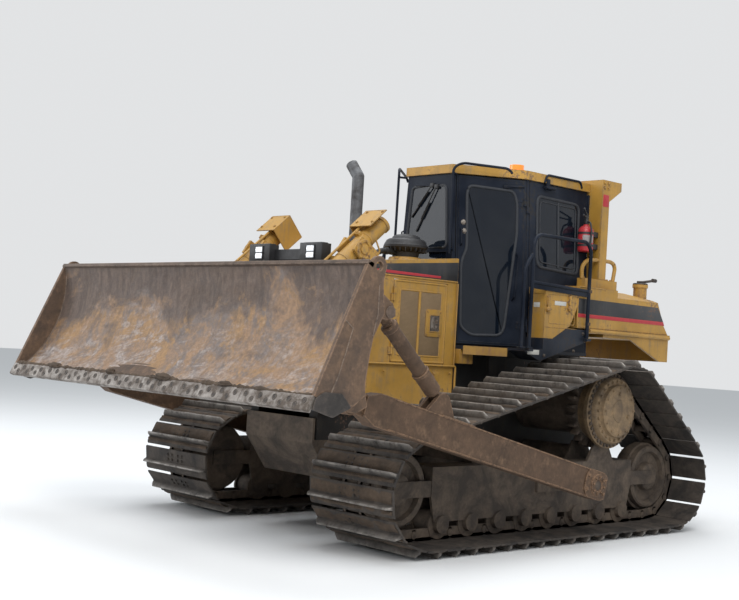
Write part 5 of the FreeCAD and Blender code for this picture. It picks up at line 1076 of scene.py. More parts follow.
class BULLDOZER_OT_front(bpy.types.Operator):
    """Hood bands, engine doors with punched panels, grille, guard, lamps and precleaner"""

    bl_idname = "bulldozer.front"
    bl_label = "Front"

    def execute(self, context):
        top = [(0.137, 2.343), (-0.985, 2.230)]
        band = panel([(-0.985, 2.152), (0.137, 2.152), (0.137, 2.318), (-0.985, 2.212)], 0.4372, 0.002)
        piece("hood_bands", both(band), "band")
        line = panel([(-0.985, 2.160), (-0.08, 2.160), (-0.08, 2.180), (-0.985, 2.186)],
                     0.4394, 0.001, 0.0004)
        piece("hood_lines", both(line), "line")
        lip = tube([(0.424, y, z) for y, z in top], 0.013)
        foot = tube([(0.440, -0.985, 2.143), (0.440, 0.137, 2.143)], 0.007)
        ledge = tube(bent([(0.455, -0.985, 1.402), (0.455, 0.150, 1.402), (0.455, 0.150, 1.05)], 0.02), 0.010)
        plate = panel(rounded(rectangle((-0.14, 1.262), (-0.055, 1.352)), 0.012), 0.459, 0.004)
        seams = [tube([(0.455, y, 1.41), (0.455, y, 2.13)], 0.006) for y in (-0.985, 0.128)]
        heads = bolts([(0.4592, y, z) for y in (-0.95, -0.72, 0.08) for z in (1.08, 1.34)]
                      + [(0.4592, -0.12, z) for z in (1.285, 1.33)], 0.009)
        piece("hood_trim", both(lip, foot, ledge, plate, *seams, heads), "yellow")
        for name, turn in SIDES:
            rim = frame_ring((-0.628, 1.427), (0.004, 2.105), 0.437, 0.010, 0.012)
            tray = frame_ring((-0.560, 1.478), (-0.052, 2.032), 0.437, 0.008, 0.02)
            bar = tube([(0.438, -0.325, 1.482), (0.438, -0.325, 2.03)], 0.013)
            latch = panel(rounded(rectangle((-0.244, 1.648), (-0.040, 1.886)), 0.03), 0.439, 0.006)
            collar = frame_ring((-0.196, 1.692), (-0.070, 1.838), 0.446, 0.005, 0.02)
            pins = bolts([(0.445, y, z) for y in (-0.222, -0.062) for z in (1.668, 1.864)], 0.006)
            sheets = [panel(rectangle((-0.552, 1.486), (-0.338, 2.024)), 0.4374, 0.0016, 0.0006),
                      panel(rectangle((-0.312, 1.486), (-0.060, 2.024)), 0.4374, 0.0016, 0.0006)]
            # Painted shade: a flat dark sheet inside the collar stands for the shade in the hollow of the
            # lock pocket.
            hole = panel(rounded(rectangle((-0.192, 1.696), (-0.074, 1.834)), 0.018),
                         0.4448, 0.001, 0.0003)
            lock = [turned([(0.444, 0.014), (0.450, 0.014), (0.452, 0.010)], (0, -0.115, 1.735), "x", 20),
                    block((0.444, -0.175, 1.72), (0.449, -0.145, 1.82), 0.004),
                    block((0.444, -0.128, 1.765), (0.4475, -0.09, 1.80), 0.003)]
            body = f"{name}_side_door"
            piece(f"{name}_door_frame", turn(joined(rim, tray, bar, latch, collar, pins)), "yellow",
                  body)
            piece(f"{name}_door_sheets", turn(joined(sheets)), "punched", body)
            piece(f"{name}_door_pocket_shade", turn(joined(hole)), "iron", body)
            piece(f"{name}_door_lock", turn(joined(lock)), "zinc", body)
        bars = [tube([(-0.405, -1.294, z), (0.405, -1.294, z)], 0.010, (0, 0, 1))
                for z in np.arange(1.06, 2.18, 0.052)]
        posts = [tube([(x, -1.300, 1.03), (x, -1.300, 2.19)], 0.012) for x in (-0.21, 0.21)]
        piece("grille_bars", joined(bars, posts), "band")
        low, high = (np.array(corner, float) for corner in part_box("work_lamps"))
        wide, tall = 0.262, 0.137
        rims, lenses, grids = [], [], []
        for left in (low[0], high[0] - wide):
            z, front, middle = high[2] - tall, low[1], left + wide / 2

            def cut(x, y, up, edge):
                """A block from three spans, x and up from the lamp's corner and y from its front."""
                return block(*np.transpose([np.add(left, x), np.add(front, y), np.add(z, up)]), edge)

            rims += [cut((-0.004, wide + 0.004), (-0.006, 0.012), (-0.004, tall + 0.004), 0.004),
                     tube([(left + 0.03, front + 0.02, z - 0.004), (left + 0.03, front + 0.02, z - 0.030)],
                          0.012),
                     cut((0.02, wide - 0.02), (0.014, 0.08), (tall, tall + 0.008), 0.003)]
            half = wide / 2
            lenses.append(cut((half - 0.047, half + 0.047), (-0.012, -0.004), (0.016, 0.120), 0.004))
            grids += [cut((half - 0.052, half + 0.052), (-0.015, -0.006), (up - 0.004, up + 0.004), 0.001)
                      for up in (0.016, 0.068, 0.120)]
            grids += [cut((half + at - 0.004, half + at + 0.004), (-0.015, -0.006), (0.012, 0.124), 0.001)
                      for at in (-0.050, 0.050)]
            lenses += [turned([(-0.004, 0.020), (0.0, 0.019), (0.002, 0.010), (0.002, 0.002)],
                              (middle + x, front - 0.012, z + 0.042 + up), "y", 16)
                       for x in (-0.022, 0.022) for up in (0.0, 0.052)]
        piece("lamp_rims", joined(rims, grids), "plastic")
        piece("lamp_lenses", joined(lenses), "lens")
        low, high = (np.array(corner, float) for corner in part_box("air_intake"))
        reach, peak = (high[0] - low[0]) / 2, high[2]
        at = ((low[0] + high[0]) / 2, (low[1] + high[1]) / 2, peak)
        bowl = turned([(-0.210, 0.58), (-0.165, 0.62), (-0.150, 0.74), (-0.132, 0.93),
                       (-0.122, 0.99), (-0.104, 1.0), (-0.094, 0.96), (-0.086, 0.94), (-0.062, 0.90),
                       (-0.046, 0.78), (-0.042, 0.66), (-0.024, 0.61), (-0.008, 0.46), (0.0, 0.22),
                       (0.0, 0.02)] * np.array([1, reach]), at, "z", 48)
        fin = block((at[0] + 0.70 * reach, at[1] - 0.003, peak - 0.160),
                    (at[0] + 0.96 * reach, at[1] + 0.003, peak - 0.122), 0.001)
        turns = [Matrix.Rotation(a, 3, "Z") for a in np.arange(24) * math.pi / 12]
        vanes = copies(moved(fin, -np.array(at)), [at] * 24,
                       np.array([[list(row) for row in m] for m in turns]))
        base = turned([(-0.260, 0.155), (-0.222, 0.150), (-0.210, 0.142), (-0.206, 0.118)], at, "z", 40)
        piece("precleaner", joined(bowl, vanes), "plastic", replaces=("air_intake",))
        piece("precleaner_base", base, "yellow")
        mouth = np.array(at) - (0.02, 0, 0)
        hose = tube(bent([mouth + (0, -0.10, -0.175), mouth + (0, -0.26, -0.165), mouth + (0, -0.36, -0.205),
                          mouth + (0, -0.38, -0.300)], 0.05), 0.026)
        clip = turned([(-0.014, 0.028), (-0.012, 0.033), (0.012, 0.033), (0.014, 0.028)],
                      mouth + (0, -0.22, -0.168), "y", 18)
        piece("intake_hose", joined(hose, clip), "hose")
        guard_heads = bolts([(0.475, y, z) for y in (-1.375, -1.045) for z in np.arange(1.10, 2.2, 0.18)],
                            0.012)
        piece("guard_bolts", both(guard_heads), "yellow")
        return {"FINISHED"}


CAB_FRONT, CAB_CORNER, CAB_REAR = 0.163, 0.750, 1.655
CAB_FRONT_HALF, CAB_SIDE_HALF = 0.370, 0.730
CAB_FLOOR, CAB_TOP = 1.590, 3.130
CAB_LEAN = 0.090 / (CAB_TOP - CAB_FLOOR)
DOOR_ALONG = unit(np.array([CAB_SIDE_HALF - CAB_FRONT_HALF, CAB_CORNER - CAB_FRONT, 0.0]))
DOOR_OUT = np.array([DOOR_ALONG[1], -DOOR_ALONG[0], 0.0])


def on_door(points, out=0.0):
    """Points of the slanting door wall from (run from its front corner, height), out from its face."""
    points = np.asarray(points, float)
    run, height = points[..., 0:1], points[..., 1:2]
    base = np.array([CAB_FRONT_HALF, CAB_FRONT, 0.0]) + run * DOOR_ALONG + out * DOOR_OUT
    return base + np.concatenate([-CAB_LEAN * (height - CAB_FLOOR), height * 0, height], -1)


def on_side(points, out=0.0):
    """Points of the cab's side wall from (y, height)."""
    points = np.asarray(points, float)
    y, height = points[..., 0:1], points[..., 1:2]
    return np.concatenate([CAB_SIDE_HALF + out - CAB_LEAN * (height - CAB_FLOOR), y, height], -1)


def on_front(points, out=0.0):
    """Points of the cab's front wall from (x, height)."""
    points = np.asarray(points, float)
    x, height = points[..., 0:1], points[..., 1:2]
    return np.concatenate([x, CAB_FRONT - out + x * 0, height], -1)


def on_rear(points, out=0.0):
    """Points of the cab's rear wall from (x, height)."""
    return on_front(points, out) * (1, -1, 1) + (0, CAB_FRONT + CAB_REAR, 0)


def seal(outline, wall, radius, corner, out=0.004):
    """A rubber bead along a rounded closed outline on one of the cab's walls."""
    path = wall(rounded(outline, corner, 6), out)
    return swept(path, circle(radius, 9), closed=True)


def slab(outline, wall, low, high):
    """A plate on one of the cab's walls: a rounded outline between two distances out from it."""
    return stacked(np.stack([wall(outline, low), wall(outline, high)]))


def window_wall(outer, inner, wall, low, high, corner=0.045):
    """A plate on one of the cab's walls with a window: both outlines met by rays from the window's middle."""
    hole, outer = rounded(inner, corner, 6), np.asarray(outer, float)
    middle = hole.mean(0)
    turns = np.unique(np.round(np.arctan2(*(np.concatenate([hole, outer]) - middle).T[::-1]), 6))
    ray = np.stack([np.cos(turns), np.sin(turns)], -1)[:, None]

    def ring(outline):
        start = (outline - middle)[None]
        side = (np.roll(outline, -1, 0) - outline)[None]
        slant = ray[..., 0] * side[..., 1] - ray[..., 1] * side[..., 0]
        reach = (start[..., 0] * side[..., 1] - start[..., 1] * side[..., 0]) / slant
        share = (start[..., 0] * ray[..., 1] - start[..., 1] * ray[..., 0]) / slant
        hit = np.where((share > -1e-6) & (share < 1 + 1e-6) & (reach > 0), reach, np.inf).min(1)
        return middle + hit[:, None] * ray[:, 0]

    loops = [wall(ring(outer), low), wall(ring(outer), high), wall(ring(hole), high), wall(ring(hole), low)]
    return surface(np.stack(loops), True, True)


DOOR_SEAL = [(0.150, 3.030), (0.572, 3.010), (0.606, 2.900), (0.603, 2.620), (0.552, 2.229), (0.490, 1.760),
             (0.452, 1.700), (0.180, 1.690), (0.085, 1.760), (0.084, 2.285), (0.096, 2.365), (0.136, 2.455),
             (0.133, 2.960)]
SIDE_SEAL = [(0.905, 2.350), (0.905, 3.000), (1.525, 2.985), (1.503, 2.320)]
FRONT_SEAL = [(-0.262, 2.460), (-0.215, 3.025), (0.215, 3.025), (0.258, 2.460)]


class BULLDOZER_OT_cab(bpy.types.Operator):
    """Window seals, panes, wipers, handles, hinges, rails on the roof and the things inside"""

    bl_idname = "bulldozer.cab"
    bl_label = "Cab"

    def execute(self, context):
        for name, turn in SIDES:
            body = f"{name}_door"
            bead_form = seal(DOOR_SEAL, on_door, 0.013, 0.045)
            piece(f"{name}_door_seal", turn(bead_form), "rubber", body)
            pane = slab(rounded(DOOR_SEAL, 0.045, 6), on_door, 0.0012, 0.0035)
            piece(f"{name}_door_pane", turn(pane), "glass", body,
                  replaces=(f"{name}_door_glass",))
            plate = window_wall([(0.054, 1.610), (0.054, 3.116), (0.676, 3.116), (0.676, 1.610)],
                                DOOR_SEAL, on_door, 0.0004, 0.0045)
            rim = swept(on_door(rounded([(0.058, 1.630), (0.058, 3.100), (0.664, 3.100), (0.664, 1.630)],
                                        0.03), 0.001),
                        circle(0.006, 8), closed=True)
            knobs = [changed(turned([(0.0, 0.024), (0.006, 0.024), (0.010, 0.018), (0.016, 0.016),
                                     (0.018, 0.010)],
                                    (0, 0, 0), "z", 20),
                             np.stack([DOOR_ALONG, (0, 0, 1), DOOR_OUT], -1), on_door([(run, z)], 0.001)[0])
                     for run, z in ((0.104, 2.694), (0.114, 2.615))]
            pull = tube(on_door(np.array([(0.080, 2.48), (0.080, 2.50), (0.080, 2.62), (0.080, 2.64)]), 0.0)
                        + np.outer([0.0, 0.035, 0.035, 0.0], DOOR_OUT), 0.008)
            handle = tube(on_door(np.array([(0.565, 2.02), (0.570, 2.05), (0.605, 2.42), (0.609, 2.45)]), 0.0)
                          + np.outer([0.0, 0.055, 0.055, 0.0], DOOR_OUT), 0.009)
            stay = joined(tube(on_door([(0.490, 3.046), (0.668, 3.060)], 0.016), 0.010),
                          changed(block((-0.03, -0.014, 0), (0.03, 0.014, 0.02), 0.004),
                                  np.stack([DOOR_ALONG, (0, 0, 1), DOOR_OUT], -1),
                                  on_door([(0.50, 3.046)])[0]))
            straps = [slab(rounded(rectangle((0.600, z - 0.035), (0.668, z + 0.035)), 0.015),
                           on_door, 0.001, 0.009) for z in (1.80, 2.90)]
            fast = [changed(turned([(0.009, 0.008), (0.015, 0.008), (0.016, 0.005)], (0, 0, 0), "z", 6),
                            np.stack([DOOR_ALONG, (0, 0, 1), DOOR_OUT], -1), on_door([(run, z + dz)])[0])
                    for z in (1.80, 2.90) for run in (0.615, 0.645) for dz in (-0.02, 0.02)]
            piece(f"{name}_door_plate", turn(plate), "black", body)
            piece(f"{name}_door_fittings", turn(joined(rim, pull, handle, stay, *straps, *fast)), "black",
                  body)
            piece(f"{name}_door_locks", turn(joined(knobs)), "zinc", body)
            frame_form = seal(SIDE_SEAL, on_side, 0.014, 0.07)
            inner = seal([(0.945, 2.395), (0.945, 2.955), (1.480, 2.945), (1.462, 2.37)],
                         on_side, 0.007, 0.05)
            post = tube(on_side([(1.213, 2.36), (1.213, 2.97)], 0.004), 0.012)
            pane = slab(rounded(SIDE_SEAL, 0.07, 6), on_side, 0.0008, 0.0026)
            plate = window_wall([(0.800, 2.165), (0.800, 3.118), (1.648, 3.118), (1.648, 2.165)],
                                SIDE_SEAL, on_side, 0.0004, 0.0045, 0.07)
            piece(f"{name}_side_plate", turn(plate), "black")
            piece(f"{name}_side_seal", turn(joined(frame_form, inner, post)), "rubber")
            piece(f"{name}_side_pane", turn(pane), "glass")
        plate = window_wall([(-0.316, 2.42), (-0.276, 3.118), (0.276, 3.118), (0.316, 2.42)],
                            FRONT_SEAL, on_front, 0.0004, 0.0045, 0.05)
        piece("front_plate", plate, "black")
        ring = seal(FRONT_SEAL, on_front, 0.013, 0.05)
        pane = slab(rounded(FRONT_SEAL, 0.05, 6), on_front, 0.0008, 0.0026)
        rear = [(-0.53, 2.38), (-0.50, 3.02), (0.50, 3.02), (0.53, 2.38)]
        behind = seal(rear, on_rear, 0.013, 0.05)
        piece("front_seal", joined(ring, behind), "rubber")
        piece("front_pane", pane, "glass")
        wipers = []
        for foot, tip in (((0.050, 3.030), (-0.115, 2.845)), ((0.105, 3.015), (-0.065, 2.725))):
            run = unit(np.subtract(tip, foot))
            ends = [np.subtract(tip, run * 0.17), np.add(tip, run * 0.13)]
            wipers += [tube(on_front([foot, tip], 0.024), 0.006),
                       tube(on_front(np.array(ends), 0.012), 0.008),
                       moved(block((-0.022, -0.030, -0.020), (0.022, 0, 0.020), 0.006), on_front([foot])[0])]
        piece("wipers", joined(wipers), "plastic")
        rod = tube(bent([(0.352, 0.100, 2.40), (0.349, 0.100, 2.90), (0.345, 0.098, 3.165),
                         (0.40, 0.150, 3.212), (0.655, 0.500, 3.190), (0.662, 0.530, 3.150)], 0.045), 0.012)
        feet = [tube([(0.350, 0.100, 2.44), (0.318, 0.165, 2.44)], 0.010),
                tube([(0.346, 0.099, 3.12), (0.318, 0.165, 3.12)], 0.010)]
        gutter = tube(bent([(0.664, 0.985, 3.130), (0.668, 1.018, 3.206), (0.668, 1.515, 3.208),
                            (0.662, 1.545, 3.15)],
                           0.03), 0.011)
        bracket = [block((0.640, 1.015, 3.085), (0.672, 1.065, 3.17), 0.006),
                   block((0.650, 0.985, 3.075), (0.700, 1.125, 3.098), 0.006)]
        piece("roof_rails", both(rod, *feet, gutter, *bracket), "black")
        edge = [(0.526, 0.158, 1.515), (0.738, 0.502, 1.515), (0.738, 0.502, 1.592), (0.526, 0.158, 1.592)]
        strip = stacked(np.array([edge, np.add(edge, 0.010 * np.array([0.852, -0.524, 0.0]))]))
        support = block((0.425, 0.150, 1.43), (0.505, 0.320, 1.56), 0.006)
        piece("deck_edge", both(strip, support), "yellow_rusty")
        lever = [tube(bent([(x, 0.55, 1.62), (x, 0.52, 2.05), (x + 0.03, 0.50, 2.28)], 0.06), 0.012)
                 for x in (-0.28, 0.28)]
        knob = [turned([(-0.03, 0.008), (-0.022, 0.024), (0.0, 0.032), (0.022, 0.024), (0.03, 0.008)],
                       (x + 0.03, 0.50, 2.30), "z", 16) for x in (-0.28, 0.28)]
        arms = [block((x - 0.05, 0.70, 2.13), (x + 0.05, 1.05, 2.19), 0.02) for x in (-0.30, 0.30)]
        cushion = [prism(rounded(rectangle((-0.23, 0.66), (0.23, 1.08)), 0.06), 1.875, 2.045, "xy", 0.03),
                   prism(rounded([(-0.23, 2.06), (0.23, 2.06), (0.20, 2.60), (-0.20, 2.60)], 0.07), 1.045,
                         1.175, "xz", 0.03)]
        piece("cab_levers", joined(lever, knob), "plastic")
        piece("seat_cushions", joined(cushion, arms), "cloth")
        return {"FINISHED"}


TANK_SIDE = 0.9132


def mirrored_path(half):
    """A path from the left side, carried on to the right side through its reflection."""
    half = np.asarray(half, float)
    return np.vstack([half, half[::-1] * (-1, 1, 1)])


def round_label(at, radius, low, high, start, end):
    """A thin band round part of an upright bottle: an arc outline carried from low to high."""
    turn = np.radians(np.linspace(start, end, 12))
    spokes = np.stack([np.cos(turn), np.sin(turn)], -1)
    return prism(np.vstack([spokes * (radius + 0.0008), spokes[::-1] * radius]) + at, low, high, "xy", 0.0002)


class BULLDOZER_OT_rear(bpy.types.Operator):
    """Tank bands, seams and filler lid, tool box latches, bare plates, bottle, rails and bar fittings"""

    bl_idname = "bulldozer.rear"
    bl_label = "Rear"

    def execute(self, context):
        band = panel([(1.262, 1.951), (2.640, 1.945), (2.542, 2.080), (1.257, 2.089)],
                     TANK_SIDE, 0.0016, 0.0004)
        line = panel([(1.264, 1.915), (2.660, 1.908), (2.640, 1.944), (1.262, 1.949)],
                     TANK_SIDE, 0.0022, 0.0004)
        piece("tank_bands", both(band), "band")
        piece("tank_lines", both(line), "line")
        seams = both(bead([(TANK_SIDE, 1.30, 1.823), (TANK_SIDE, 2.70, 1.823)], 0.004),
                     tube([(TANK_SIDE, 1.262, 2.196), (TANK_SIDE, 1.655, 2.196)], 0.006),
                     tube([(0.748, 1.262, 2.198), (0.748, 1.655, 2.198)], 0.006))
        ledge = tube(bent(mirrored_path([(0.922, 1.425, 1.797), (0.922, 2.738, 1.786),
                                         (0.848, 2.815, 1.786)]), 0.03),
                     0.021, (0, 0, 1))
        piece("tank_ledge", joined(seams, ledge), "yellow")
        neck = pipe_ring([(2.150, 0.064), (2.298, 0.064), (2.298, 0.071), (2.286, 0.074), (2.276, 0.066),
                          (2.150, 0.066)], (0.740, 2.470, 0), "z")
        cap = turned([(2.296, 0.060), (2.297, 0.072), (2.310, 0.074), (2.317, 0.066), (2.319, 0.02)],
                     (0.740, 2.470, 0), "z")
        lever = tube(bent([(0.726, 2.440, 2.326), (0.748, 2.500, 2.330), (0.800, 2.600, 2.352)], 0.02), 0.013)
        grip = turned([(-0.03, 0.012), (-0.028, 0.019), (0.028, 0.019), (0.03, 0.012)],
                      (0.802, 2.612, 2.354), "y", 14)
        piece("filler_cap", joined(cap, lever, grip), "iron")
        piece("filler_neck", neck, "yellow_rusty")
        box_x, box_y = 0.930, 0.760
        lid = [block((0.742, 0.754, 2.092), (0.936, 1.240, 2.154), 0.005),
               bead([(box_x, 0.775, 1.800), (box_x, 1.225, 1.800)], 0.003),
               tube([(0.752, box_y, 1.79), (0.925, box_y, 1.79)], 0.004),
               tube([(box_x, 1.232, 1.84), (box_x, 1.232, 2.09)], 0.006),
               frame_ring((0.82, 1.835), (1.19, 2.04), box_x, 0.003, 0.02)]
        latch = joined(block((box_x, -0.024, 0.045), (box_x + 0.010, 0.024, 0.130), 0.003),
                       block((box_x + 0.008, -0.014, 0.020), (box_x + 0.020, 0.014, 0.125), 0.005),
                       turned([(0.0, 0.012), (0.002, 0.026), (0.018, 0.028), (0.026, 0.020), (0.028, 0.006)],
                              (box_x, 0.0, 0.006), "x", 18),
                       tube([(box_x + 0.024, -0.030, 0.0), (box_x + 0.024, 0.030, 0.012)], 0.006, (1, 0, 0)),
                       bolts([(box_x + 0.010, y, z) for y in (-0.017, 0.017) for z in (0.060, 0.118)], 0.005))
        latches = [moved(latch, (0, y, z)) for y, z in ((0.797, 1.950), (1.105, 1.975))]
        piece("box_trim", both(*lid), "yellow")
        piece("box_latches", both(*latches), "yellow_rusty")
        plates = [panel(rounded(rectangle((0.895, 2.002), (1.06, 2.042)), 0.005), box_x, 0.0015,
                        0.0004),
                  block((0.800, box_y - 0.0015, 1.974), (0.870, box_y, 2.017), 0.0006),
                  panel(rounded(rectangle((0.55, 1.548), (0.71, 1.590)), 0.005), 0.930, 0.0015,
                        0.0004)]
        piece("bare_plates", both(*plates), "white")
        at = (0.758, 1.520)
        shell = turned([(2.540, 0.030), (2.541, 0.060), (2.548, 0.069), (2.560, 0.0725),
                        (2.735, 0.0725), (2.755, 0.068), (2.775, 0.052), (2.788, 0.030),
                        (2.800, 0.022)], (*at, 0), "z", 36)
        valve = [turned([(2.798, 0.020), (2.812, 0.027), (2.832, 0.027), (2.842, 0.018), (2.885, 0.016),
                         (2.890, 0.008)],
                        (*at, 0), "z", 16),
                 tube(bent([(0.758, 1.545, 2.880), (0.770, 1.490, 2.905), (0.800, 1.425, 2.942)], 0.02),
                      0.008),
                 tube(bent([(0.758, 1.540, 2.862), (0.772, 1.480, 2.868), (0.800, 1.420, 2.880)], 0.02),
                      0.007),
                 tube(bent([(0.758, 1.520, 2.825), (0.820, 1.500, 2.815), (0.846, 1.490, 2.74),
                            (0.838, 1.490, 2.60)],
                           0.02), 0.009)]
        strap = [pipe_ring([(z - 0.010, 0.073), (z - 0.010, 0.0755), (z + 0.010, 0.0755), (z + 0.010, 0.073)],
                           (*at, 0), "z", 36) for z in (2.600, 2.715)]
        carrier = [block((0.735, 1.592, 2.575), (0.785, 1.680, 2.625), 0.004),
                   block((0.735, 1.592, 2.690), (0.785, 1.680, 2.740), 0.004),
                   block((0.728, 1.590, 2.555), (0.790, 1.600, 2.760), 0.003)]
        piece("bottle", shell, "red", replaces=("extinguisher",))
        piece("bottle_fittings", joined(valve, strap, carrier), "plastic")
        piece("bottle_label", round_label(at, 0.0727, 2.625, 2.695, -75, 15), "plate_grey")
        ear = tube(bent([(0.790, 1.452, 2.288), (0.790, 1.440, 2.390), (0.790, 1.511, 2.462),
                         (0.790, 1.691, 2.478), (0.790, 1.905, 2.478), (0.790, 1.965, 2.440),
                         (0.790, 1.935, 2.288)], 0.045), 0.019)
        heads = bolts([(0.812, y, z) for y in (1.705, 1.765) for z in (3.170, 3.215)], 0.013)
        caps = bolts([(0.790, y, 2.290) for y in (1.475, 1.56, 1.84, 1.90)], 0.014, "z")
        weld = bead([(0.8125, 1.682, 2.296), (0.8125, 1.786, 2.296)], 0.007)
        piece("bar_rails", both(ear, heads, caps, weld), "yellow")
        plate = panel(rounded(rectangle((1.690, 2.990), (1.778, 3.105)), 0.006), 0.812, 0.002,
                      0.0006)
        piece("bar_plates", both(plate), "line")
        flange = block((0.600, 1.657, 2.205), (0.664, 1.679, 3.100), 0.003)
        piece("bar_flanges", both(flange), "black")
        hand = [tube(bent([(0.950, 0.435, 1.600), (0.950, 0.435, 2.300), (0.950, 0.530, 2.425)], 0.07),
                     0.016),
                tube([(0.950, 0.532, 2.183), (0.950, 1.368, 2.155)], 0.016),
                prism([(0.535, 2.128), (1.366, 2.100), (1.366, 2.142), (0.535, 2.170)], 0.946, 0.954)]
        foot = [block((0.925, y - 0.035, 1.598), (0.975, y + 0.035, 1.612), 0.005) for y in (0.435, 0.532)]
        piece("rail_bars", both(*hand, *foot), "black")
        collars = [pipe_ring([(z - 0.014, 0.0175), (z - 0.014, 0.024), (z + 0.014, 0.024),
                              (z + 0.014, 0.0175)],
                             (0.950, 1.370, 0), "z", 20) for z in (2.156, 1.857)]
        piece("rail_collars", both(*collars), "soil")
        steps = bolts([(0.930, y, z) for y, z in ((0.78, 1.545), (1.20, 1.60), (1.327, 1.765), (1.36, 1.70))],
                      0.012)
        piece("fender_bolts", both(steps), "iron")
        return {"FINISHED"}


LIFT_X = float(np.mean([corner[0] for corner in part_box("left_lift_rod")]))
LIFT_PIN = np.array([LIFT_X, -1.270, 2.295])
LIFT_SLOPE = math.radians(40.35)
LIFT_TURN = np.stack([(1, 0, 0), (0, -math.sin(LIFT_SLOPE), math.cos(LIFT_SLOPE)),
                      (0, -math.cos(LIFT_SLOPE), -math.sin(LIFT_SLOPE))], -1)
ARM_OUTER = 1.756
ARM_PIN = np.array([0.0, 0.525, 0.510])
ARM_SLOPE = math.radians(13.444)
ARM_TURN = np.stack([(1, 0, 0), (0, -math.cos(ARM_SLOPE), math.sin(ARM_SLOPE)),
                     (0, math.sin(ARM_SLOPE), math.cos(ARM_SLOPE))], -1)
BRACE_PIN = np.array([1.696, -1.342, 1.187])
BRACE_SLOPE = math.radians(43.09)
BRACE_TURN = np.stack([(1, 0, 0), (0, -math.sin(BRACE_SLOPE), -math.cos(BRACE_SLOPE)),
                       (0, -math.cos(BRACE_SLOPE), math.sin(BRACE_SLOPE))], -1)


def on_lift(form):
    """A form from the lift cylinder's own frame: x outwards, y square above it, z down along its rod."""
    return changed(form, LIFT_TURN, LIFT_PIN)


def on_arm(form):
    """A form from the push arm's own frame: x outwards, y forward along it, z square above it."""
    return changed(form, ARM_TURN, ARM_PIN)


def on_brace(form):
    """A form from the brace's own frame: x outwards, y square below it, z up along it from its low pin."""
    return changed(form, BRACE_TURN, BRACE_PIN)


def ring_at(low, high, radius, hole, soft=0.004):
    """A collar along z: outer radius, hole radius and rounded outer rims."""
    return pipe_ring([(low, hole), (low, radius - soft), (low + soft, radius), (high - soft, radius),
                      (high, radius - soft), (high, hole)], (0, 0, 0), "z", 36)


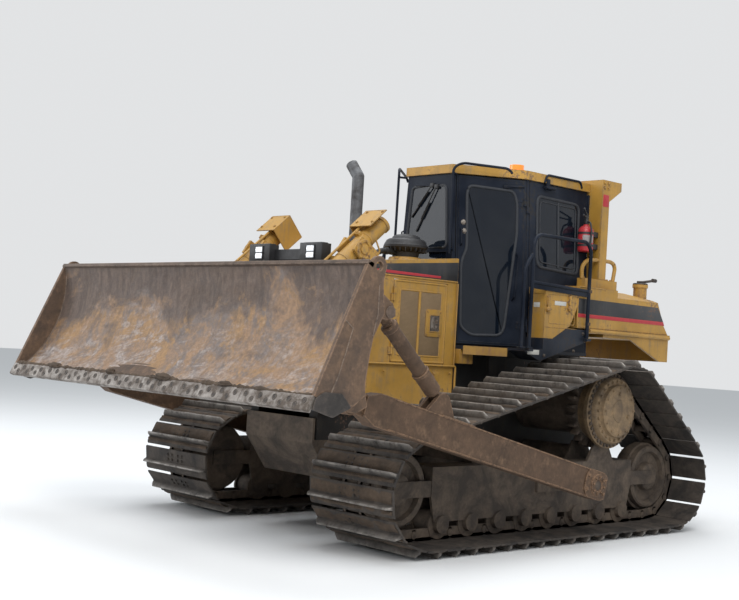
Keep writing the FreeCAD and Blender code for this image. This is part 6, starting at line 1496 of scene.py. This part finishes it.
class BULLDOZER_OT_attachments(bpy.types.Operator):
    """Fittings of the lift cylinders and yokes, push arms, brace and tilt cylinder"""

    bl_idname = "bulldozer.attachments"
    bl_label = "Attachments"

    def execute(self, context):
        barrel, rod_end = 0.0702, 0.985
        rings = [ring_at(-0.372, -0.340, 0.078, 0.05), ring_at(-0.150, -0.130, 0.0745, barrel - 0.01),
                 ring_at(0.135, 0.165, 0.0755, barrel - 0.01), ring_at(0.520, 0.545, 0.0745, barrel - 0.01),
                 ring_at(rod_end - 0.090, rod_end - 0.004, 0.079, 0.040),
                 ring_at(rod_end - 0.006, rod_end + 0.006, 0.060, 0.0375)]
        clamp = joined(block((-0.022, 0.060, -0.125), (0.022, 0.098, -0.085), 0.006),
                       bolts([(0.0, 0.098, -0.105)], 0.010, "y"))
        pipe = tube(bent([(-0.040, 0.064, -0.245), (-0.040, 0.092, -0.225), (-0.040, 0.092, 0.80),
                          (-0.040, 0.060, 0.835)],
                         0.03), 0.011)
        port = block((-0.060, 0.050, -0.285), (-0.018, 0.104, -0.235), 0.008)
        spokes = [(0.060 * math.cos(a), 0.060 * math.sin(a)) for a in np.arange(8) * 0.785]
        spread = bolts([(*spoke, rod_end + 0.001) for spoke in spokes], 0.008, "z")
        sheet_heads = bolts([(x, 0.1205, z) for x in (-0.09, 0.09) for z in (-0.215, -0.355)], 0.009, "y")
        wall_heads = bolts([(-0.124, y, z) for y in (-0.08, 0.08) for z in (-0.200, -0.350)], 0.009)
        flange = block((-0.132, 0.113, -0.386), (0.112, 0.1215, -0.378), 0.002)
        for name, turn in SIDES:
            piece(f"{name}_cylinder_fittings",
                  turn(on_lift(joined(*rings, clamp, pipe, port, spread, sheet_heads, wall_heads, flange))),
                  "yellow", f"{name}_cylinder")
            wiper = on_lift(ring_at(rod_end + 0.004, rod_end + 0.012, 0.048, 0.0375, 0.002))
            piece(f"{name}_cylinder_seal", turn(wiper), "rubber", f"{name}_cylinder")
        yoke = 0.108
        outer_lobe = turned([(-0.010, 0.078), (0.004, 0.080), (0.010, 0.074), (0.010, 0.056), (0.003, 0.052),
                             (0.003, 0.040), (0.014, 0.038), (0.016, 0.028), (0.016, 0.004)],
                            LIFT_PIN + (yoke, 0, 0), "x", 32)
        inner_lobe = turned([(-0.016, 0.004), (-0.016, 0.030), (-0.010, 0.074), (0.004, 0.080)],
                            LIFT_PIN - (yoke, 0, 0), "x", 32)
        weld = bead([(LIFT_X + yoke, -1.165, 2.165), (LIFT_X + yoke, -1.100, 2.300),
                     (LIFT_X + yoke, -1.150, 2.385)],
                    0.007)
        heads = bolts(spokes_at(LIFT_PIN + (0.118, 0, 0), 0.066, 6, "x", 0.3), 0.008)
        piece("yoke_caps", both(outer_lobe, inner_lobe, heads), "yellow")
        piece("yoke_welds", both(weld), "yellow")
        face = ARM_OUTER
        for name, turn in SIDES:
            beads = [bead([(face, 0.02, z), (face, 2.46, z)], 0.006) for z in (0.108, -0.108)]
            cheek = prism(rounded([(-0.124, -0.092), (-0.124, 0.092), (-0.060, 0.118),
                                   (0.120, 0.118), (0.165, 0.060), (0.165, -0.060), (0.120, -0.118),
                                   (-0.060, -0.118)], 0.02),
                          face, face + 0.012)
            collar = turned([(face + 0.010, 0.090), (face + 0.020, 0.090), (face + 0.024, 0.084),
                             (face + 0.024, 0.052), (face + 0.016, 0.048), (face + 0.016, 0.004)], (0, 0,
                             0), "x", 36)
            heads = bolts(spokes_at((face + 0.022, 0, 0), 0.070, 8), 0.010)
            ends = bolts([(face + 0.011, y, z) for y in (-0.095, 0.130) for z in (-0.055, 0.055)], 0.013)
            root = bead([(face, 1.60, 0.114), (face, 1.96, 0.114)], 0.009)
            piece(f"{name}_arm_fittings", turn(on_arm(joined(*beads, cheek, collar, heads, ends, root))),
                  "arm", f"{name}_arm")
        sleeve = joined(ring_at(0.090, 0.265, 0.062, 0.03), ring_at(0.262, 0.285, 0.067, 0.04),
                        ring_at(0.700, 0.745, 0.062, 0.034), ring_at(0.742, 0.752, 0.055, 0.034))
        knobs = [tube([(0.0, -0.045, z), (0.0, -0.075, z)], 0.010, (1, 0, 0)) for z in (0.16, 0.72)]
        handle = [tube([(-0.010, -0.050, 0.215), (-0.075, -0.070, 0.330)], 0.011),
                  tube([(-0.075, -0.115, 0.305), (-0.075, -0.030, 0.355)], 0.012, (1, 0, 0))]
        turns = np.linspace(0, 8 * 2 * math.pi, 8 * 18)
        screw = swept(np.stack([0.0345 * np.cos(turns), 0.0345 * np.sin(turns),
                                0.755 + turns / turns[-1] * 0.085], -1),
                      circle(0.0035, 6), (0, 0, 1))
        piece("brace_fittings", on_brace(joined(sleeve, *knobs, screw)), "arm", "brace_body")
        piece("brace_handle", on_brace(joined(handle)), "iron", "brace_body")
        gland = joined(ring_at(0.100, 0.135, 0.078, 0.05), ring_at(0.640, 0.716, 0.078, 0.037),
                       bolts([(*spoke, 0.716) for spoke in spokes], 0.008, "z"))
        feed = [tube(bent([(x, -0.070, z), (x, -0.098, z + 0.01), (x, -0.098, 0.150), (x, -0.070, 0.140)],
                          0.012), 0.010)
                for x, z in ((0.025, 0.62), (-0.025, 0.62))]
        piece("tilt_fittings", mirrored(on_brace(joined(gland, *feed))), "arm", "tilt_cylinder")
        pin = turned([(1.796, 0.030), (1.796, 0.044), (1.810, 0.044), (1.814, 0.038), (1.814, 0.006)],
                     (0, -1.977, 1.781), "x", 24)
        piece("brace_pins", both(pin), "end_plate", "blade_body")
        return {"FINISHED"}


class BULLDOZER_PT_panel(bpy.types.Panel):
    """Sizes, colours and the steps that dress the machine"""

    bl_label = "Bulldozer"
    bl_space_type = "VIEW_3D"
    bl_region_type = "UI"
    bl_category = "Bulldozer"

    def draw(self, context):
        for group in (context.scene.bulldozer_paint, context.scene.bulldozer_stage):
            column = self.layout.column()
            for name in group.__annotations__:
                column.prop(group, name)
        for step in STEPS:
            self.layout.operator(step.bl_idname)


STEPS = (BULLDOZER_OT_finishes, BULLDOZER_OT_tracks, BULLDOZER_OT_wheels, BULLDOZER_OT_blade,
         BULLDOZER_OT_front,
         BULLDOZER_OT_cab, BULLDOZER_OT_rear, BULLDOZER_OT_attachments, BULLDOZER_OT_stage)
CLASSES = (BulldozerPaint, BulldozerStage, *STEPS, BULLDOZER_PT_panel)


def register():
    for item in CLASSES:
        bpy.utils.register_class(item)
    bpy.types.Scene.bulldozer_paint = bpy.props.PointerProperty(type=BulldozerPaint)
    bpy.types.Scene.bulldozer_stage = bpy.props.PointerProperty(type=BulldozerStage)


def unregister():
    del bpy.types.Scene.bulldozer_stage
    del bpy.types.Scene.bulldozer_paint
    for item in reversed(CLASSES):
        bpy.utils.unregister_class(item)


def main():
    register()
    for step in STEPS:
        group, name = step.bl_idname.split(".")
        getattr(getattr(bpy.ops, group), name)()


if __name__ == "__main__":
    main()
